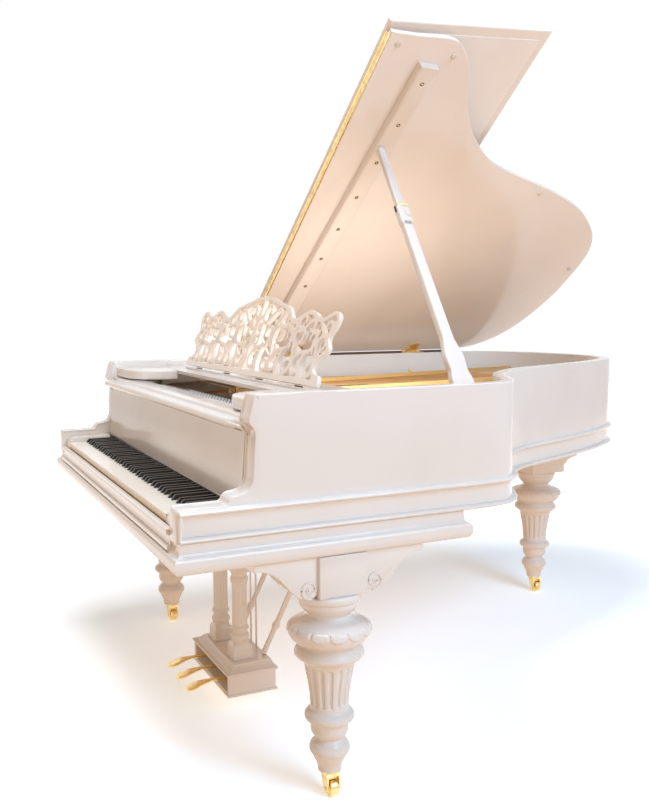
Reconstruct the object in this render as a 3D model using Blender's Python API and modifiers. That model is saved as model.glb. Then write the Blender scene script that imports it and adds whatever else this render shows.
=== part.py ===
"""White Victorian grand piano with its lid raised, in metres, +Z up.

The treble side is +X, the player sits on the -Y side and the floor is z = 0. Every piece is
measured from the front of the keybed (y = 0 there); an empty moves the whole piano so that the
frame's origin lies under the middle of it.
"""
import math

import bmesh
import bpy
from mathutils import Matrix, Vector

# Driving dimensions of the case
LENGTH = 2.020
CASE_HALF = 0.735
RIM_TOP = 1.003
RIM_FOOT = 0.6855
RIM_WALL = 0.036
ARM_INNER = 0.680
ARM_FRONT = 0.012
ARM_BACK = 0.400
GAP = 0.0003

# Where the bent rim runs behind its straight sides, seen from above
BENT_RIM = [
    (0.735, 0.790), (0.727, 0.872), (0.703, 0.925), (0.625, 0.985), (0.505, 1.052),
    (0.418, 1.133), (0.343, 1.232), (0.291, 1.345), (0.250, 1.455), (0.203, 1.575),
    (0.153, 1.690), (0.095, 1.800), (0.018, 1.910), (-0.105, 1.985), (-0.250, 2.006),
    (-0.400, 1.994), (-0.560, 1.945), (-0.680, 1.860), (-0.728, 1.760), (-0.735, 1.660),
]
CURVE_STEPS = 3

# Keybed and keyboard
KEYBED_FOOT = 0.618
KEYBED_NOSE = 0.0205
KEYBED_TOP = 0.660
KEYBED_BACK = 0.770
WELL_BACK = 0.600
KEYBOARD = 1.2254
NATURALS = 52
KEY_FRONT = 0.024
KEY_TOP = 0.728
KEY_FOOT = 0.706
KEY_BALANCE = (0.260, 0.7055)
KEY_GAP = 0.0010
SHARP_WIDTH = 0.0095
SHARP_FRONT = 0.0775
SHARP_TOP = 0.7405
FALL_HINGE = (0.1795, 0.748)

# Sounding part
BELLY_TOP = 0.866
BOARD_TOP = BELLY_TOP + 0.0093
PLATE_FOOT = 0.896
PLATE_TOP = 0.908
TREBLE_WIRE = 0.9135
BASS_WIRE = 0.9265
WIRE = 0.003
WIRE_START = 0.335

# Lid, opened on its prop
LID_HINGE = (-0.739, 1.012)
LID_ANGLE = 37.5
LID_THICK = 0.020
LID_UNDER = -0.004
FLAP_FOLD_Y = 0.708
FLAP_FOLD_T = 0.0172
FLAP_DEPTH = 0.580
FLAP_REST = 7.0
BATTEN_DROP = 0.025
PROP_FOOT = (0.662, 0.803, 0.978)
PROP_REACH = 1.118
PROP_TIP_Y = 0.832
PROP_SPLIT = 0.620

# Edge of the lid behind the fold: distance from the hinge line across, and y
LID_EDGE = [
    (1.486, 0.800), (1.491, 0.880), (1.484, 0.925), (1.461, 0.958), (1.432, 0.986), (1.386, 1.017),
    (1.304, 1.055), (1.194, 1.134), (1.103, 1.238), (1.055, 1.324), (1.003, 1.492), (0.960, 1.624),
    (0.904, 1.757), (0.849, 1.849), (0.767, 1.943), (0.692, 1.991), (0.617, 2.011), (0.489, 2.017),
    (0.358, 2.007), (0.200, 1.962), (0.094, 1.895), (0.028, 1.800), (0.008, 1.700),
]

# Music desk
SHELF_TOP = 0.982
DESK_HINGE = (0.444, 0.990)
DESK_LEAN = 22.0
DESK_THICK = 0.012
STRUT_PIVOT = 0.130

# Legs and casters
FRONT_LEG = (0.687, 0.400)
REAR_LEG = (-0.352, 1.880)
LEG_TOP = 0.517
LEG_FOOT = 0.0657
WHEEL_RADIUS = 0.0215
WHEEL_TRAIL = 0.013

# Pedal lyre
COLUMN_X = 0.087
COLUMN_Y = 0.392
BOX_TOP = 0.1345
PEDAL_HINGE = (0.420, 0.078)
PEDAL_X = 0.097

WHITE = ("white_lacquer", (0.86, 0.82, 0.78), 0.20, 0.0)
IVORY = ("ivory_white", (0.93, 0.90, 0.82), 0.30, 0.0)
EBONY = ("ebony_black", (0.02, 0.018, 0.016), 0.35, 0.0)
GOLD_IRON = ("gilt_iron", (0.74, 0.52, 0.20), 0.40, 0.6)
BRASS = ("brass", (0.80, 0.58, 0.24), 0.25, 1.0)
STEEL = ("steel_wire", (0.62, 0.62, 0.62), 0.30, 1.0)
COPPER = ("copper_wound", (0.70, 0.40, 0.22), 0.35, 1.0)
SPRUCE = ("spruce", (0.80, 0.62, 0.38), 0.45, 0.0)
MAPLE = ("maple", (0.72, 0.56, 0.36), 0.50, 0.0)
FELT = ("felt", (0.78, 0.75, 0.70), 0.95, 0.0)


# Scene and materials

def clear_scene():
    for obj in list(bpy.data.objects):
        bpy.data.objects.remove(obj, do_unlink=True)


def collection(name):
    group = bpy.data.collections.new(name)
    bpy.context.scene.collection.children.link(group)
    return group


def material(finish):
    name, colour, roughness, metallic = finish
    found = bpy.data.materials.get(name)
    if found:
        return found
    made = bpy.data.materials.new(name)
    made.use_nodes = True
    shader = made.node_tree.nodes["Principled BSDF"]
    shader.inputs["Base Color"].default_value = (*colour, 1.0)
    shader.inputs["Roughness"].default_value = roughness
    shader.inputs["Metallic"].default_value = metallic
    made.diffuse_color = (*colour, 1.0)
    return made


clear_scene()
PIANO = collection("grand_piano")
CUTTERS = collection("cutters")


# Making and placing objects

def empty(name, parent=None, location=(0, 0, 0), rotation=None):
    """An empty that stands at the front of the keybed, or on a moving piece's axis."""
    axis = bpy.data.objects.new(name, None)
    axis.parent = parent
    axis.location = location
    if rotation is not None:
        axis.rotation_euler = rotation
    PIANO.objects.link(axis)
    return axis


def add(name, mesh, finish, parent, origin=None, smooth=None):
    """One piece: its mesh is given in its parent's frame, and its origin can sit on its axis."""
    mesh.name = name
    obj = bpy.data.objects.new(name, mesh)
    obj.parent = parent
    if origin is not None:
        mesh.transform(Matrix.Translation(-Vector(origin)))
        obj.location = origin
    if finish is None:
        obj.hide_render = True
        obj.display_type = "WIRE"
        CUTTERS.objects.link(obj)
        return obj
    mesh.materials.append(material(finish))
    PIANO.objects.link(obj)
    if smooth:
        mesh.shade_smooth()
        mesh.set_sharp_from_angle(angle=math.radians(smooth))
    return obj


def mesh_from(bm):
    bmesh.ops.remove_doubles(bm, verts=bm.verts, dist=1e-6)
    bmesh.ops.recalc_face_normals(bm, faces=bm.faces)
    mesh = bpy.data.meshes.new("shape")
    bm.to_mesh(mesh)
    bm.free()
    return mesh


def box(low, high):
    """A block between two opposite corners."""
    bm = bmesh.new()
    bmesh.ops.create_cube(bm, size=1.0)
    size = [b - a for a, b in zip(low, high)]
    middle = [(a + b) / 2 for a, b in zip(low, high)]
    bmesh.ops.scale(bm, vec=size, verts=bm.verts)
    bmesh.ops.translate(bm, vec=middle, verts=bm.verts)
    return mesh_from(bm)


def cylinder(radius, start, end, sides=16):
    """A round bar between two points."""
    start = Vector(start)
    run = Vector(end) - start
    bm = bmesh.new()
    bmesh.ops.create_cone(
        bm, cap_ends=True, segments=sides, radius1=radius, radius2=radius, depth=run.length)
    turn = Vector((0, 0, 1)).rotation_difference(run).to_matrix().to_4x4()
    bm.transform(Matrix.Translation(start + run / 2) @ turn)
    return mesh_from(bm)


PLAN = Matrix.Identity(4)
SIDE = Matrix(((0, 0, 1, 0), (1, 0, 0, 0), (0, 1, 0, 0), (0, 0, 0, 1)))
FRONT = Matrix(((1, 0, 0, 0), (0, 0, -1, 0), (0, 1, 0, 0), (0, 0, 0, 1)))


def flat(outline, low, high, view=PLAN, holes=()):
    """A flat outline with holes, drawn in plan (x, y), side (y, z) or front (x, z) view.

    It fills the depth from low to high along the view's own axis: z, x or -y.
    """
    curve = bpy.data.curves.new("outline", "CURVE")
    curve.dimensions = "2D"
    curve.fill_mode = "BOTH"
    curve.extrude = (high - low) / 2
    for points in (outline, *holes):
        spline = curve.splines.new("POLY")
        spline.points.add(len(points) - 1)
        for point, (u, v) in zip(spline.points, points):
            point.co = (u, v, 0, 1)
        spline.use_cyclic_u = True
    drawn = bpy.data.objects.new("outline", curve)
    bpy.context.scene.collection.objects.link(drawn)
    graph = bpy.context.evaluated_depsgraph_get()
    mesh = bpy.data.meshes.new_from_object(drawn.evaluated_get(graph))
    bpy.data.objects.remove(drawn, do_unlink=True)
    bm = bmesh.new()
    bm.from_mesh(mesh)
    bm.transform(view @ Matrix.Translation((0, 0, (low + high) / 2)))
    return mesh_from(bm)


def loft(rings):
    """A closed body through rings of points, with flat ends."""
    bm = bmesh.new()
    rows = [[bm.verts.new(point) for point in ring] for ring in rings]
    for lower, upper in zip(rows, rows[1:]):
        for k in range(len(lower)):
            after = (k + 1) % len(lower)
            bm.faces.new((lower[k], lower[after], upper[after], upper[k]))
    bm.faces.new(rows[0])
    bm.faces.new(rows[-1])
    return mesh_from(bm)


def joined(*meshes):
    """Several bodies in one mesh, for a Boolean to join or to cut with."""
    bm = bmesh.new()
    for mesh in meshes:
        bm.from_mesh(mesh)
    mesh = bpy.data.meshes.new("group")
    bm.to_mesh(mesh)
    bm.free()
    return mesh


def boolean(obj, operation, mesh):
    """Join a mesh to a piece, cut it away or keep what they share."""
    tool = add(f"{obj.name}_{operation.lower()}", mesh, None, obj.parent)
    modifier = obj.modifiers.new(operation.lower(), "BOOLEAN")
    modifier.operation = operation
    modifier.object = tool
    modifier.solver = "EXACT"


def turned(name, profile, finish, parent, steps=16, location=(0, 0, 0), mesh=None):
    """A lathe-turned piece from (radius, height) points listed from the top down."""
    if mesh is None:
        mesh = bpy.data.meshes.new(name)
        edges = [(k, k + 1) for k in range(len(profile) - 1)]
        mesh.from_pydata([(radius, 0, z) for radius, z in profile], edges, [])
    obj = bpy.data.objects.new(name, mesh)
    obj.parent = parent
    obj.location = location
    if not mesh.materials:
        mesh.materials.append(material(finish))
    screw = obj.modifiers.new("turning", "SCREW")
    screw.steps = steps
    screw.render_steps = steps
    screw.use_merge_vertices = True
    screw.merge_threshold = 1e-5
    screw.use_smooth_shade = True
    PIANO.objects.link(obj)
    return obj


# Curves and outlines

def smooth_line(points, steps):
    """A curve through the points: each stretch leans on the points before and after it."""
    line = []
    ends = [points[0], *points, points[-1]]
    for a, b, c, d in zip(ends, ends[1:], ends[2:], ends[3:]):
        for k in range(steps):
            t = k / steps
            line.append(tuple(
                0.5 * (2 * q + (r - p) * t + (2 * p - 5 * q + 4 * r - s) * t * t
                       + (3 * q - p - 3 * r + s) * t ** 3)
                for p, q, r, s in zip(a, b, c, d)))
    line.append(points[-1])
    return line


def offset_line(line, distance):
    """The line moved sideways to its right by a distance."""
    moved = []
    for k, (x, y) in enumerate(line):
        before = line[max(k - 1, 0)]
        after = line[min(k + 1, len(line) - 1)]
        run = Vector((after[0] - before[0], after[1] - before[1])).normalized()
        moved.append((x + run.y * distance, y - run.x * distance))
    return moved


def rim_line(front, offset=0.0):
    """The rim's outer face in plan, from the treble arm round the tail to the bass arm."""
    bent = smooth_line(BENT_RIM, CURVE_STEPS)
    line = offset_line([(CASE_HALF, front), *bent, (-CASE_HALF, front)], offset)
    return line


def swept(line, section):
    """A section of (offset, z) points carried along a line in plan."""
    sides = [offset_line(line, offset) for offset, _ in section]
    rings = []
    for k in range(len(line)):
        rings.append([(*side[k], z) for side, (_, z) in zip(sides, section)])
    return loft(rings)


def square_ring(half, z, count=16, centre=(0, 0)):
    """A square drawn with as many points as a round ring, so that the two can be lofted."""
    ring = []
    for k in range(count):
        angle = 2 * math.pi * k / count
        c, s = math.cos(angle), math.sin(angle)
        reach = half / max(abs(c), abs(s))
        ring.append((centre[0] + reach * c, centre[1] + reach * s, z))
    return ring


def round_ring(radius, z, count=16, centre=(0, 0)):
    ring = []
    for k in range(count):
        angle = 2 * math.pi * k / count
        ring.append((centre[0] + radius * math.cos(angle), centre[1] + radius * math.sin(angle), z))
    return ring


def rectangle_ring(x, front, back, z):
    return [(-x, front, z), (x, front, z), (x, back, z), (-x, back, z)]


def mirrored(half):
    """A closed outline from its right half, listed from the bottom middle to the top middle."""
    return [*half, *[(-u, v) for u, v in reversed(half) if u > 0]]


# The case

def bead(z):
    """Half-round moulding on the rim's outside, with its middle at height z."""
    return [(0, z - 0.007), (0.009, z - 0.006), (0.014, z), (0.009, z + 0.006), (0, z + 0.007)]


def arm_cut():
    """What is taken off the arms in side view, above the scrolled line of their tops."""
    line = [
        (0.0120, 0.7480), (0.0165, 0.7560), (0.0270, 0.7600), (0.1210, 0.7600), (0.1315, 0.7680),
        (0.1400, 0.7765), (0.1530, 0.7805), (0.1700, 0.7850), (0.1840, 0.7960), (0.1900, 0.8120),
        (0.1930, 0.8700), (0.1958, 0.9050), (0.1950, 0.9220), (0.1880, 0.9320), (0.1800, 0.9440),
        (0.1870, 0.9740), (0.1960, 1.0030), (0.2050, 1.0300),
    ]
    return flat([(-0.05, 0.7480), *line, (-0.05, 1.0300)], -0.8, 0.8, SIDE)


def outer_rim(parent):
    inner = -RIM_WALL
    section = [(inner, RIM_FOOT), (0.010, RIM_FOOT), (0.014, 0.692), (0.009, 0.698), (0, 0.699)]
    section += bead(0.7515)
    section += [(0, RIM_TOP), (inner, RIM_TOP)]
    rim = add("outer_rim", swept(rim_line(ARM_FRONT), section), WHITE, parent, smooth=35)
    arms = []
    for side in (-1, 1):
        low, high = sorted((side * ARM_INNER, side * (CASE_HALF - RIM_WALL / 2)))
        arms.append(box((low, ARM_FRONT, RIM_FOOT), (high, ARM_BACK, RIM_TOP)))
    boolean(rim, "UNION", joined(*arms))
    boolean(rim, "DIFFERENCE", arm_cut())


def inner_rim(parent):
    outer = -(RIM_WALL + GAP)
    inner = outer - 0.045
    foot = RIM_FOOT
    section = [(outer, foot), (outer, BELLY_TOP), (inner, BELLY_TOP), (inner, foot)]
    rim = add("inner_rim", swept(rim_line(0.610), section), SPRUCE, parent)
    boolean(rim, "UNION", box((-0.68, 0.6105, foot), (0.68, 0.650, BELLY_TOP)))
    braces = [(-0.400, 1.940), (-0.050, 1.855), (0.250, 1.265)]
    beams = [box((x - 0.03, 0.630, 0.705), (x + 0.03, back, 0.790)) for x, back in braces]
    boolean(rim, "UNION", joined(*beams))


def keybed(parent):
    """A slab with a rounded nose and a cove above it, on the front and both sides."""
    levels = [
        (0.6180, 0.0170), (0.6200, 0.0195), (0.6260, 0.0205), (0.6500, 0.0205), (0.6555, 0.0185),
        (0.6585, 0.0130), (0.6620, 0.0080), (0.6680, 0.0045), (0.6760, 0.0030), (0.6850, 0.0030),
    ]
    rings = []
    for z, proud in levels:
        front = KEYBED_NOSE - proud
        rings.append(rectangle_ring(CASE_HALF + proud, front, KEYBED_BACK - front, z))
    bed = add("keybed", loft(rings), WHITE, parent, smooth=40)
    well = box((-0.6785, -0.05, KEYBED_TOP), (0.6785, WELL_BACK, 0.70))
    boolean(bed, "DIFFERENCE", well)


def key_slip(parent):
    side = [
        (0.0205, 0.6605), (0.0205, 0.7055), (0.0060, 0.7055), (0.0045, 0.7010), (0.0060, 0.6950),
        (0.0095, 0.6920), (0.0095, 0.6720), (0.0060, 0.6680), (0.0060, 0.6605),
    ]
    add("key_slip", flat(side, -0.6780, 0.6780, SIDE), WHITE, parent)


def key_blocks(parent):
    side = [(0.022, 0.6605), (0.168, 0.6605), (0.168, 0.7440), (0.034, 0.7440), (0.022, 0.7320)]
    for name, low, high in (("bass", -0.6780, -0.6162), ("treble", 0.6162, 0.6780)):
        add(f"key_block_{name}", flat(side, low, high, SIDE), WHITE, parent)


def front_rail(parent):
    """The rail above the fallboard: a flat top, a groove and a half-round nose between the arms."""
    half = ARM_INNER - 0.002
    nose = [
        (0.1900, 0.9185), (0.1700, 0.9185), (0.1620, 0.9225), (0.1600, 0.9295), (0.1620, 0.9365),
        (0.1700, 0.9405), (0.1900, 0.9405),
    ]
    body = [
        (0.1820, 0.9200), (0.1820, 0.9370), (0.1970, 0.9370), (0.2000, 0.9445), (0.2030, 0.9475),
        (0.2650, 0.9475), (0.2650, 0.9200),
    ]
    rail = add("front_rail", flat(nose, -half, half, SIDE), WHITE, parent)
    boolean(rail, "UNION", flat(body, -half, half, SIDE))
    corner = [(0.690, 0.150), (0.690, 0.196), (0.677, 0.190), (0.668, 0.176), (0.650, 0.165),
              (0.625, 0.159), (0.620, 0.150)]
    ends = [flat([(side * x, y) for x, y in corner], 0.910, 0.960) for side in (-1, 1)]
    boolean(rail, "DIFFERENCE", joined(*ends))


def name_board(parent):
    add("name_board", box((-0.678, 0.2145, 0.742), (0.678, 0.2285, 0.9150)), WHITE, parent)


def fallboard(parent):
    """The leaning panel that folds forward over the keys, about its lower edge."""
    y, z = FALL_HINGE
    lean = math.radians(4.8)
    thick, height = 0.018, 0.1645
    corners = [(0, -0.004), (thick, -0.004), (thick, height - 0.003), (0, height)]
    side = []
    for back, up in corners:
        side.append((y + back * math.cos(lean) + up * math.sin(lean),
                     z + up * math.cos(lean) - back * math.sin(lean)))
    side[0] = (y, z - 0.004)
    side[1] = (side[1][0], z - 0.004)
    add("fallboard", flat(side, -0.6778, 0.6778, SIDE), WHITE, parent, origin=(0, y, z))


# The sounding part

def soundboard(parent):
    line = rim_line(0.620, -(RIM_WALL + 0.001))
    add("soundboard", flat(line, BELLY_TOP + GAP, BOARD_TOP), SPRUCE, parent)


def bridge(name, points, half, top, parent):
    line = smooth_line(points, CURVE_STEPS)
    foot = BOARD_TOP + GAP
    section = [(-half, foot), (half, foot), (half * 0.7, top), (-half * 0.7, top)]
    add(name, swept(line, section), MAPLE, parent)


def bridges(parent):
    long_line = [(0.560, 0.740), (0.430, 0.900), (0.260, 1.150), (0.080, 1.380), (-0.140, 1.540),
                 (-0.440, 1.620)]
    bass_line = [(-0.500, 1.735), (-0.380, 1.790), (-0.240, 1.825), (-0.080, 1.835)]
    bridge("long_bridge", long_line, 0.015, TREBLE_WIRE - GAP, parent)
    bridge("bass_bridge", bass_line, 0.014, BASS_WIRE - GAP, parent)


def pin_block(parent):
    add("pin_block", box((-0.678, 0.285, 0.862), (0.678, 0.470, PLATE_FOOT - GAP)), MAPLE, parent)


PLATE_INSET = -(RIM_WALL + 0.021)
PLATE_WEB = 0.032
BAR = (0.484, 0.498)
STRUT = (0.9305, 0.9445)


def strut(x, lean, far):
    """A raised bar of the plate that runs over the strings, with a foot at each end."""
    near, half = BAR[1] + 0.004, 0.007
    foot = PLATE_TOP - 0.002
    low, high = STRUT
    side = [(near, foot), (near + 0.010, foot), (near + 0.010, low), (far - 0.012, low),
            (far - 0.012, foot), (far, foot), (far, high), (near, high)]
    mesh = flat(side, x - half, x + half, SIDE)
    for vertex in mesh.vertices:
        vertex.co.x += lean * (vertex.co.y - BAR[0])
    return mesh


def cast_iron_plate(parent):
    """A gilt frame over the rim with one wide opening, raised struts and string rests."""
    web = rim_line(0.275, PLATE_INSET)
    opening = rim_line(0.510, PLATE_INSET - PLATE_WEB)
    plate = add("cast_iron_plate", flat(web, PLATE_FOOT, PLATE_TOP, holes=[opening]),
                GOLD_IRON, parent)
    treble, bass = treble_pairs(), bass_pairs()
    for pairs, top in ((treble, TREBLE_WIRE), (bass, BASS_WIRE)):
        rest = box((pairs[0][0] - 0.005, BAR[0], PLATE_TOP - 0.002),
                   (pairs[-1][0] + 0.005, BAR[1], top - GAP))
        boolean(plate, "UNION", rest)
    boolean(plate, "UNION", strut((treble[16][0] + treble[17][0]) / 2, treble[16][1], 1.070))
    boolean(plate, "UNION", strut((treble[7][0] + treble[8][0]) / 2, treble[7][1], 1.905))
    boolean(plate, "UNION", strut(treble[0][0] - 0.0145, treble[0][1], 1.880))
    section = [(-0.012, BOARD_TOP + GAP), (-0.001, BOARD_TOP + GAP), (-0.001, 0.902),
               (-0.012, 0.902)]
    boolean(plate, "UNION", swept(rim_line(0.655, PLATE_INSET), section))


def string_comb(name, pairs, back_of, level, finish, parent):
    """Strings side by side in one plane, joined by the bar that presses on them."""
    front, rear = BAR
    half = WIRE / 2
    outline = []
    for x, lean in pairs:
        for y in (front, WIRE_START):
            outline.append((x + lean * (y - front) - half, y))
        for y in (WIRE_START, front):
            outline.append((x + lean * (y - front) + half, y))
    for x, lean in reversed(pairs):
        far = back_of(x)
        for y in (rear, far):
            outline.append((x + lean * (y - front) + half, y))
        for y in (far, rear):
            outline.append((x + lean * (y - front) - half, y))
    add(name, flat(outline, level, level + WIRE), finish, parent)


TREBLE_COUNT = 22
BASS_COUNT = 14


def treble_pairs():
    """Start and sideways lean of each treble and tenor string."""
    pairs = []
    for k in range(TREBLE_COUNT):
        share = k / (TREBLE_COUNT - 1)
        pairs.append((-0.200 + 0.790 * share, -0.235 * (1 - share) ** 1.3))
    return pairs


def bass_pairs():
    return [(-0.590 + 0.355 * k / (BASS_COUNT - 1), 0.105) for k in range(BASS_COUNT)]


def treble_back(x):
    share = (x + 0.200) / 0.790
    return 0.790 + 0.860 * (1 - share) ** 1.15


def bass_back(x):
    return 1.790 + 0.080 * math.sin(math.pi * (x + 0.590) / 0.400)


def strings(parent):
    string_comb("treble_strings", treble_pairs(), treble_back, TREBLE_WIRE, STEEL, parent)
    string_comb("bass_strings", bass_pairs(), bass_back, BASS_WIRE, COPPER, parent)


# The lid and its prop

def lid_outline():
    """The lid in its own frame: distance from the hinge line across, and y."""
    front = FLAP_FOLD_Y + 0.0025
    return [(1.486, front), *smooth_line(LID_EDGE, 2), (0.008, front)]


def lid(axis):
    """The main lid, and the flap that has been folded back until it rests on the lid."""
    top = LID_UNDER + LID_THICK
    add("lid_main", flat(lid_outline(), LID_UNDER, top), WHITE, axis, smooth=30)
    fold = (0, FLAP_FOLD_Y, FLAP_FOLD_T)
    flap_axis = empty("flap_axis", axis, fold, (math.radians(FLAP_REST), 0, 0))
    flap = box((0.028, 0.0025, 0.0013), (1.500, 0.0025 + FLAP_DEPTH, 0.0213))
    add("lid_flap", flap, WHITE, flap_axis)
    strip = box((0.012, FLAP_FOLD_Y - 0.0013, -0.0020), (1.480, FLAP_FOLD_Y + 0.0022, 0.0165))
    add("flap_hinge", strip, BRASS, axis)


def lid_batten(axis):
    """A bar under the lid that runs almost along the fold and takes the tip of the prop."""
    start = Vector((0.200, 0.811))
    end = Vector((1.410, 0.862))
    along = (end - start).normalized()
    across = Vector((-along.y, along.x)) * 0.031
    corners = [start - across, end - across, end + across, start + across]
    top = LID_UNDER - GAP
    shape = flat([tuple(c) for c in corners], top - BATTEN_DROP, top)
    add("lid_batten", shape, WHITE, axis)


def lid_hinges(parent):
    x, z = LID_HINGE
    for name, y in (("front", 0.950), ("rear", 1.500)):
        leaf = box((x + 0.002, y - 0.045, RIM_TOP + GAP), (x + 0.038, y + 0.045, RIM_TOP + 0.0028))
        hinge = add(f"lid_hinge_{name}", leaf, BRASS, parent)
        boolean(hinge, "UNION", cylinder(0.0065, (x, y - 0.045, z - 0.001), (x, y + 0.045, z - 0.001)))


def lid_point(across, y, up):
    """A point of the lid's own frame, in the case's frame."""
    angle = math.radians(LID_ANGLE)
    return Vector((LID_HINGE[0] + across * math.cos(angle) - up * math.sin(angle), y,
                   LID_HINGE[1] + across * math.sin(angle) + up * math.cos(angle)))


def prop_frame(parent):
    """An empty at the prop's pin whose z runs up the stick, and the stick's length."""
    foot = Vector(PROP_FOOT)
    tip = lid_point(PROP_REACH, PROP_TIP_Y, LID_UNDER - BATTEN_DROP - 0.0014)
    up = (tip - foot).normalized()
    side = (Vector((0, 1, 0)) - up * up.y).normalized()
    turn = Matrix((side.cross(up), side, up)).transposed()
    axis = empty("prop_axis", parent, PROP_FOOT, turn.to_euler())
    return axis, (tip - foot).length


def stick(half_widths):
    """The front view (y, z) of a stick from its half widths at each height."""
    right = [(half, z) for z, half in half_widths]
    return [*right, *[(-half, z) for z, half in reversed(half_widths)]]


def lid_prop(parent):
    axis, length = prop_frame(parent)
    thick = 0.0110
    lower = [
        (-0.0120, 0.0240), (-0.0060, 0.0310), (0.0300, 0.0325), (0.0480, 0.0300), (0.0620, 0.0265),
        (0.0850, 0.0275), (0.1050, 0.0285), (0.1250, 0.0255), (0.1500, 0.0200), (0.1750, 0.0170),
        (PROP_SPLIT - GAP, 0.0155),
    ]
    add("prop_lower", flat(stick(lower), -thick, thick, SIDE), WHITE, axis)
    tip = length - PROP_SPLIT
    upper = [(0.0000, 0.0135), (tip - 0.020, 0.0120), (tip - 0.006, 0.0105), (tip, 0.0060)]
    shape = flat([(v, PROP_SPLIT + z) for v, z in stick(upper)], -0.0085, 0.0085, SIDE)
    add("prop_upper", shape, WHITE, axis, origin=(thick, 0, PROP_SPLIT))


def prop_bracket(parent):
    """A brass plate screwed inside the rim, with two ears for the pin of the prop."""
    x, y, z = PROP_FOOT
    bend = [p for p in rim_line(ARM_FRONT, -RIM_WALL - 0.0006) if p[0] > 0.6 and 0.78 < p[1] < 0.85]
    wall = [(CASE_HALF - RIM_WALL - 0.0006, y - 0.0430), *bend]
    outline = [*wall, *reversed(offset_line(wall, -0.006))]
    bracket = add("prop_bracket", flat(outline, z - 0.018, z + 0.018), BRASS, parent)
    ears = [box((x - 0.010, y + d - 0.002, z - 0.010), (wall[-1][0] - 0.002, y + d + 0.002, z + 0.010))
            for d in (-0.0385, 0.0385)]
    boolean(bracket, "UNION", joined(*ears))


# The music desk

DESK_EDGE = [
    (0.000, 0.000), (0.540, 0.000), (0.546, 0.010), (0.536, 0.030), (0.515, 0.030), (0.494, 0.042),
    (0.492, 0.058), (0.516, 0.078), (0.542, 0.092), (0.545, 0.104), (0.528, 0.120), (0.524, 0.136),
    (0.540, 0.156), (0.546, 0.180), (0.536, 0.198), (0.512, 0.206), (0.484, 0.196), (0.456, 0.187),
    (0.424, 0.190), (0.390, 0.206), (0.352, 0.209), (0.317, 0.196), (0.280, 0.183), (0.254, 0.186),
    (0.232, 0.204), (0.205, 0.221), (0.160, 0.230), (0.110, 0.240), (0.060, 0.252), (0.000, 0.256),
]


def leaf_hole(u, v, length, width, turn):
    """A pointed oval opening, turned by an angle in degrees."""
    angle = math.radians(turn)
    points = []
    for k in range(10):
        t = 2 * math.pi * k / 10
        along = length / 2 * math.cos(t)
        across = width / 2 * math.sin(t) * (1 - 0.45 * math.cos(t))
        points.append((u + along * math.cos(angle) - across * math.sin(angle),
                       v + along * math.sin(angle) + across * math.cos(angle)))
    return points


def desk_holes():
    """Openings of the right half: each has its middle, length, width and turn."""
    half = [
        (0.058, 0.052, 0.066, 0.026, 65), (0.052, 0.150, 0.070, 0.026, 110),
        (0.108, 0.196, 0.060, 0.022, -20), (0.126, 0.110, 0.078, 0.026, 80),
        (0.170, 0.052, 0.058, 0.026, 30), (0.192, 0.158, 0.080, 0.026, -38),
        (0.236, 0.092, 0.076, 0.026, 55), (0.284, 0.040, 0.056, 0.024, -25),
        (0.284, 0.142, 0.062, 0.024, 100), (0.334, 0.174, 0.060, 0.022, 18),
        (0.342, 0.098, 0.080, 0.026, 65), (0.400, 0.046, 0.062, 0.026, 30),
        (0.398, 0.156, 0.052, 0.022, -25), (0.440, 0.108, 0.074, 0.024, 62),
        (0.496, 0.158, 0.062, 0.024, 60),
    ]
    holes = []
    for u, v, length, width, turn in half:
        right = leaf_hole(u, v, length, width, turn)
        holes.append(right)
        holes.append([(-a, b) for a, b in right])
    return holes


def desk_shelf(slide):
    shelf = box((-0.677, 0.3660, SHELF_TOP - 0.012), (0.677, 0.5600, SHELF_TOP))
    obj = add("desk_shelf", shelf, WHITE, slide)
    low, high = PLATE_TOP + GAP, SHELF_TOP - 0.006
    runners = [box((min(a, b), 0.375, low), (max(a, b), 0.560, high))
               for a, b in ((0.655, 0.677), (-0.655, -0.677))]
    boolean(obj, "UNION", joined(*runners))


def desk_trays(slide):
    """Two thick bowed trays that carry the shelf's ends out to the front rail."""
    back = 0.3660 - GAP
    shape = [(0.677, 0.215), (0.560, 0.215), (0.505, 0.226), (0.462, 0.252), (0.436, 0.292),
             (0.426, 0.335), (0.426, back), (0.677, back)]
    for name, side in (("treble", 1), ("bass", -1)):
        outline = [(side * x, y) for x, y in shape]
        add(f"desk_tray_{name}", flat(outline, SHELF_TOP - 0.031, SHELF_TOP), WHITE, slide)


def music_desk(slide):
    """The pierced panel, leaning back from its hinge line on the shelf."""
    lean = math.radians(DESK_LEAN)
    axis = empty("desk_axis", slide, (0, *DESK_HINGE), (-lean, 0, 0))
    shape = flat(mirrored(DESK_EDGE), 0, DESK_THICK, FRONT, desk_holes())
    add("music_desk", shape, WHITE, axis)
    return axis


def desk_strut(panel):
    """A flat leg behind the panel; folding keeps its foot at the height of the shelf."""
    pivot = (0, 0.003, STRUT_PIVOT)
    length = STRUT_PIVOT + 0.0055
    half = 0.0025
    turn = math.radians(-2 * (90 - DESK_LEAN))
    leg = box((-0.035, -half, 0), (0.035, half, length))
    leg.transform(Matrix.Rotation(turn, 4, "X"))
    leg.transform(Matrix.Translation(pivot))
    add("desk_strut", leg, WHITE, panel, origin=pivot)


# Legs, casters and the pedal lyre

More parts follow.
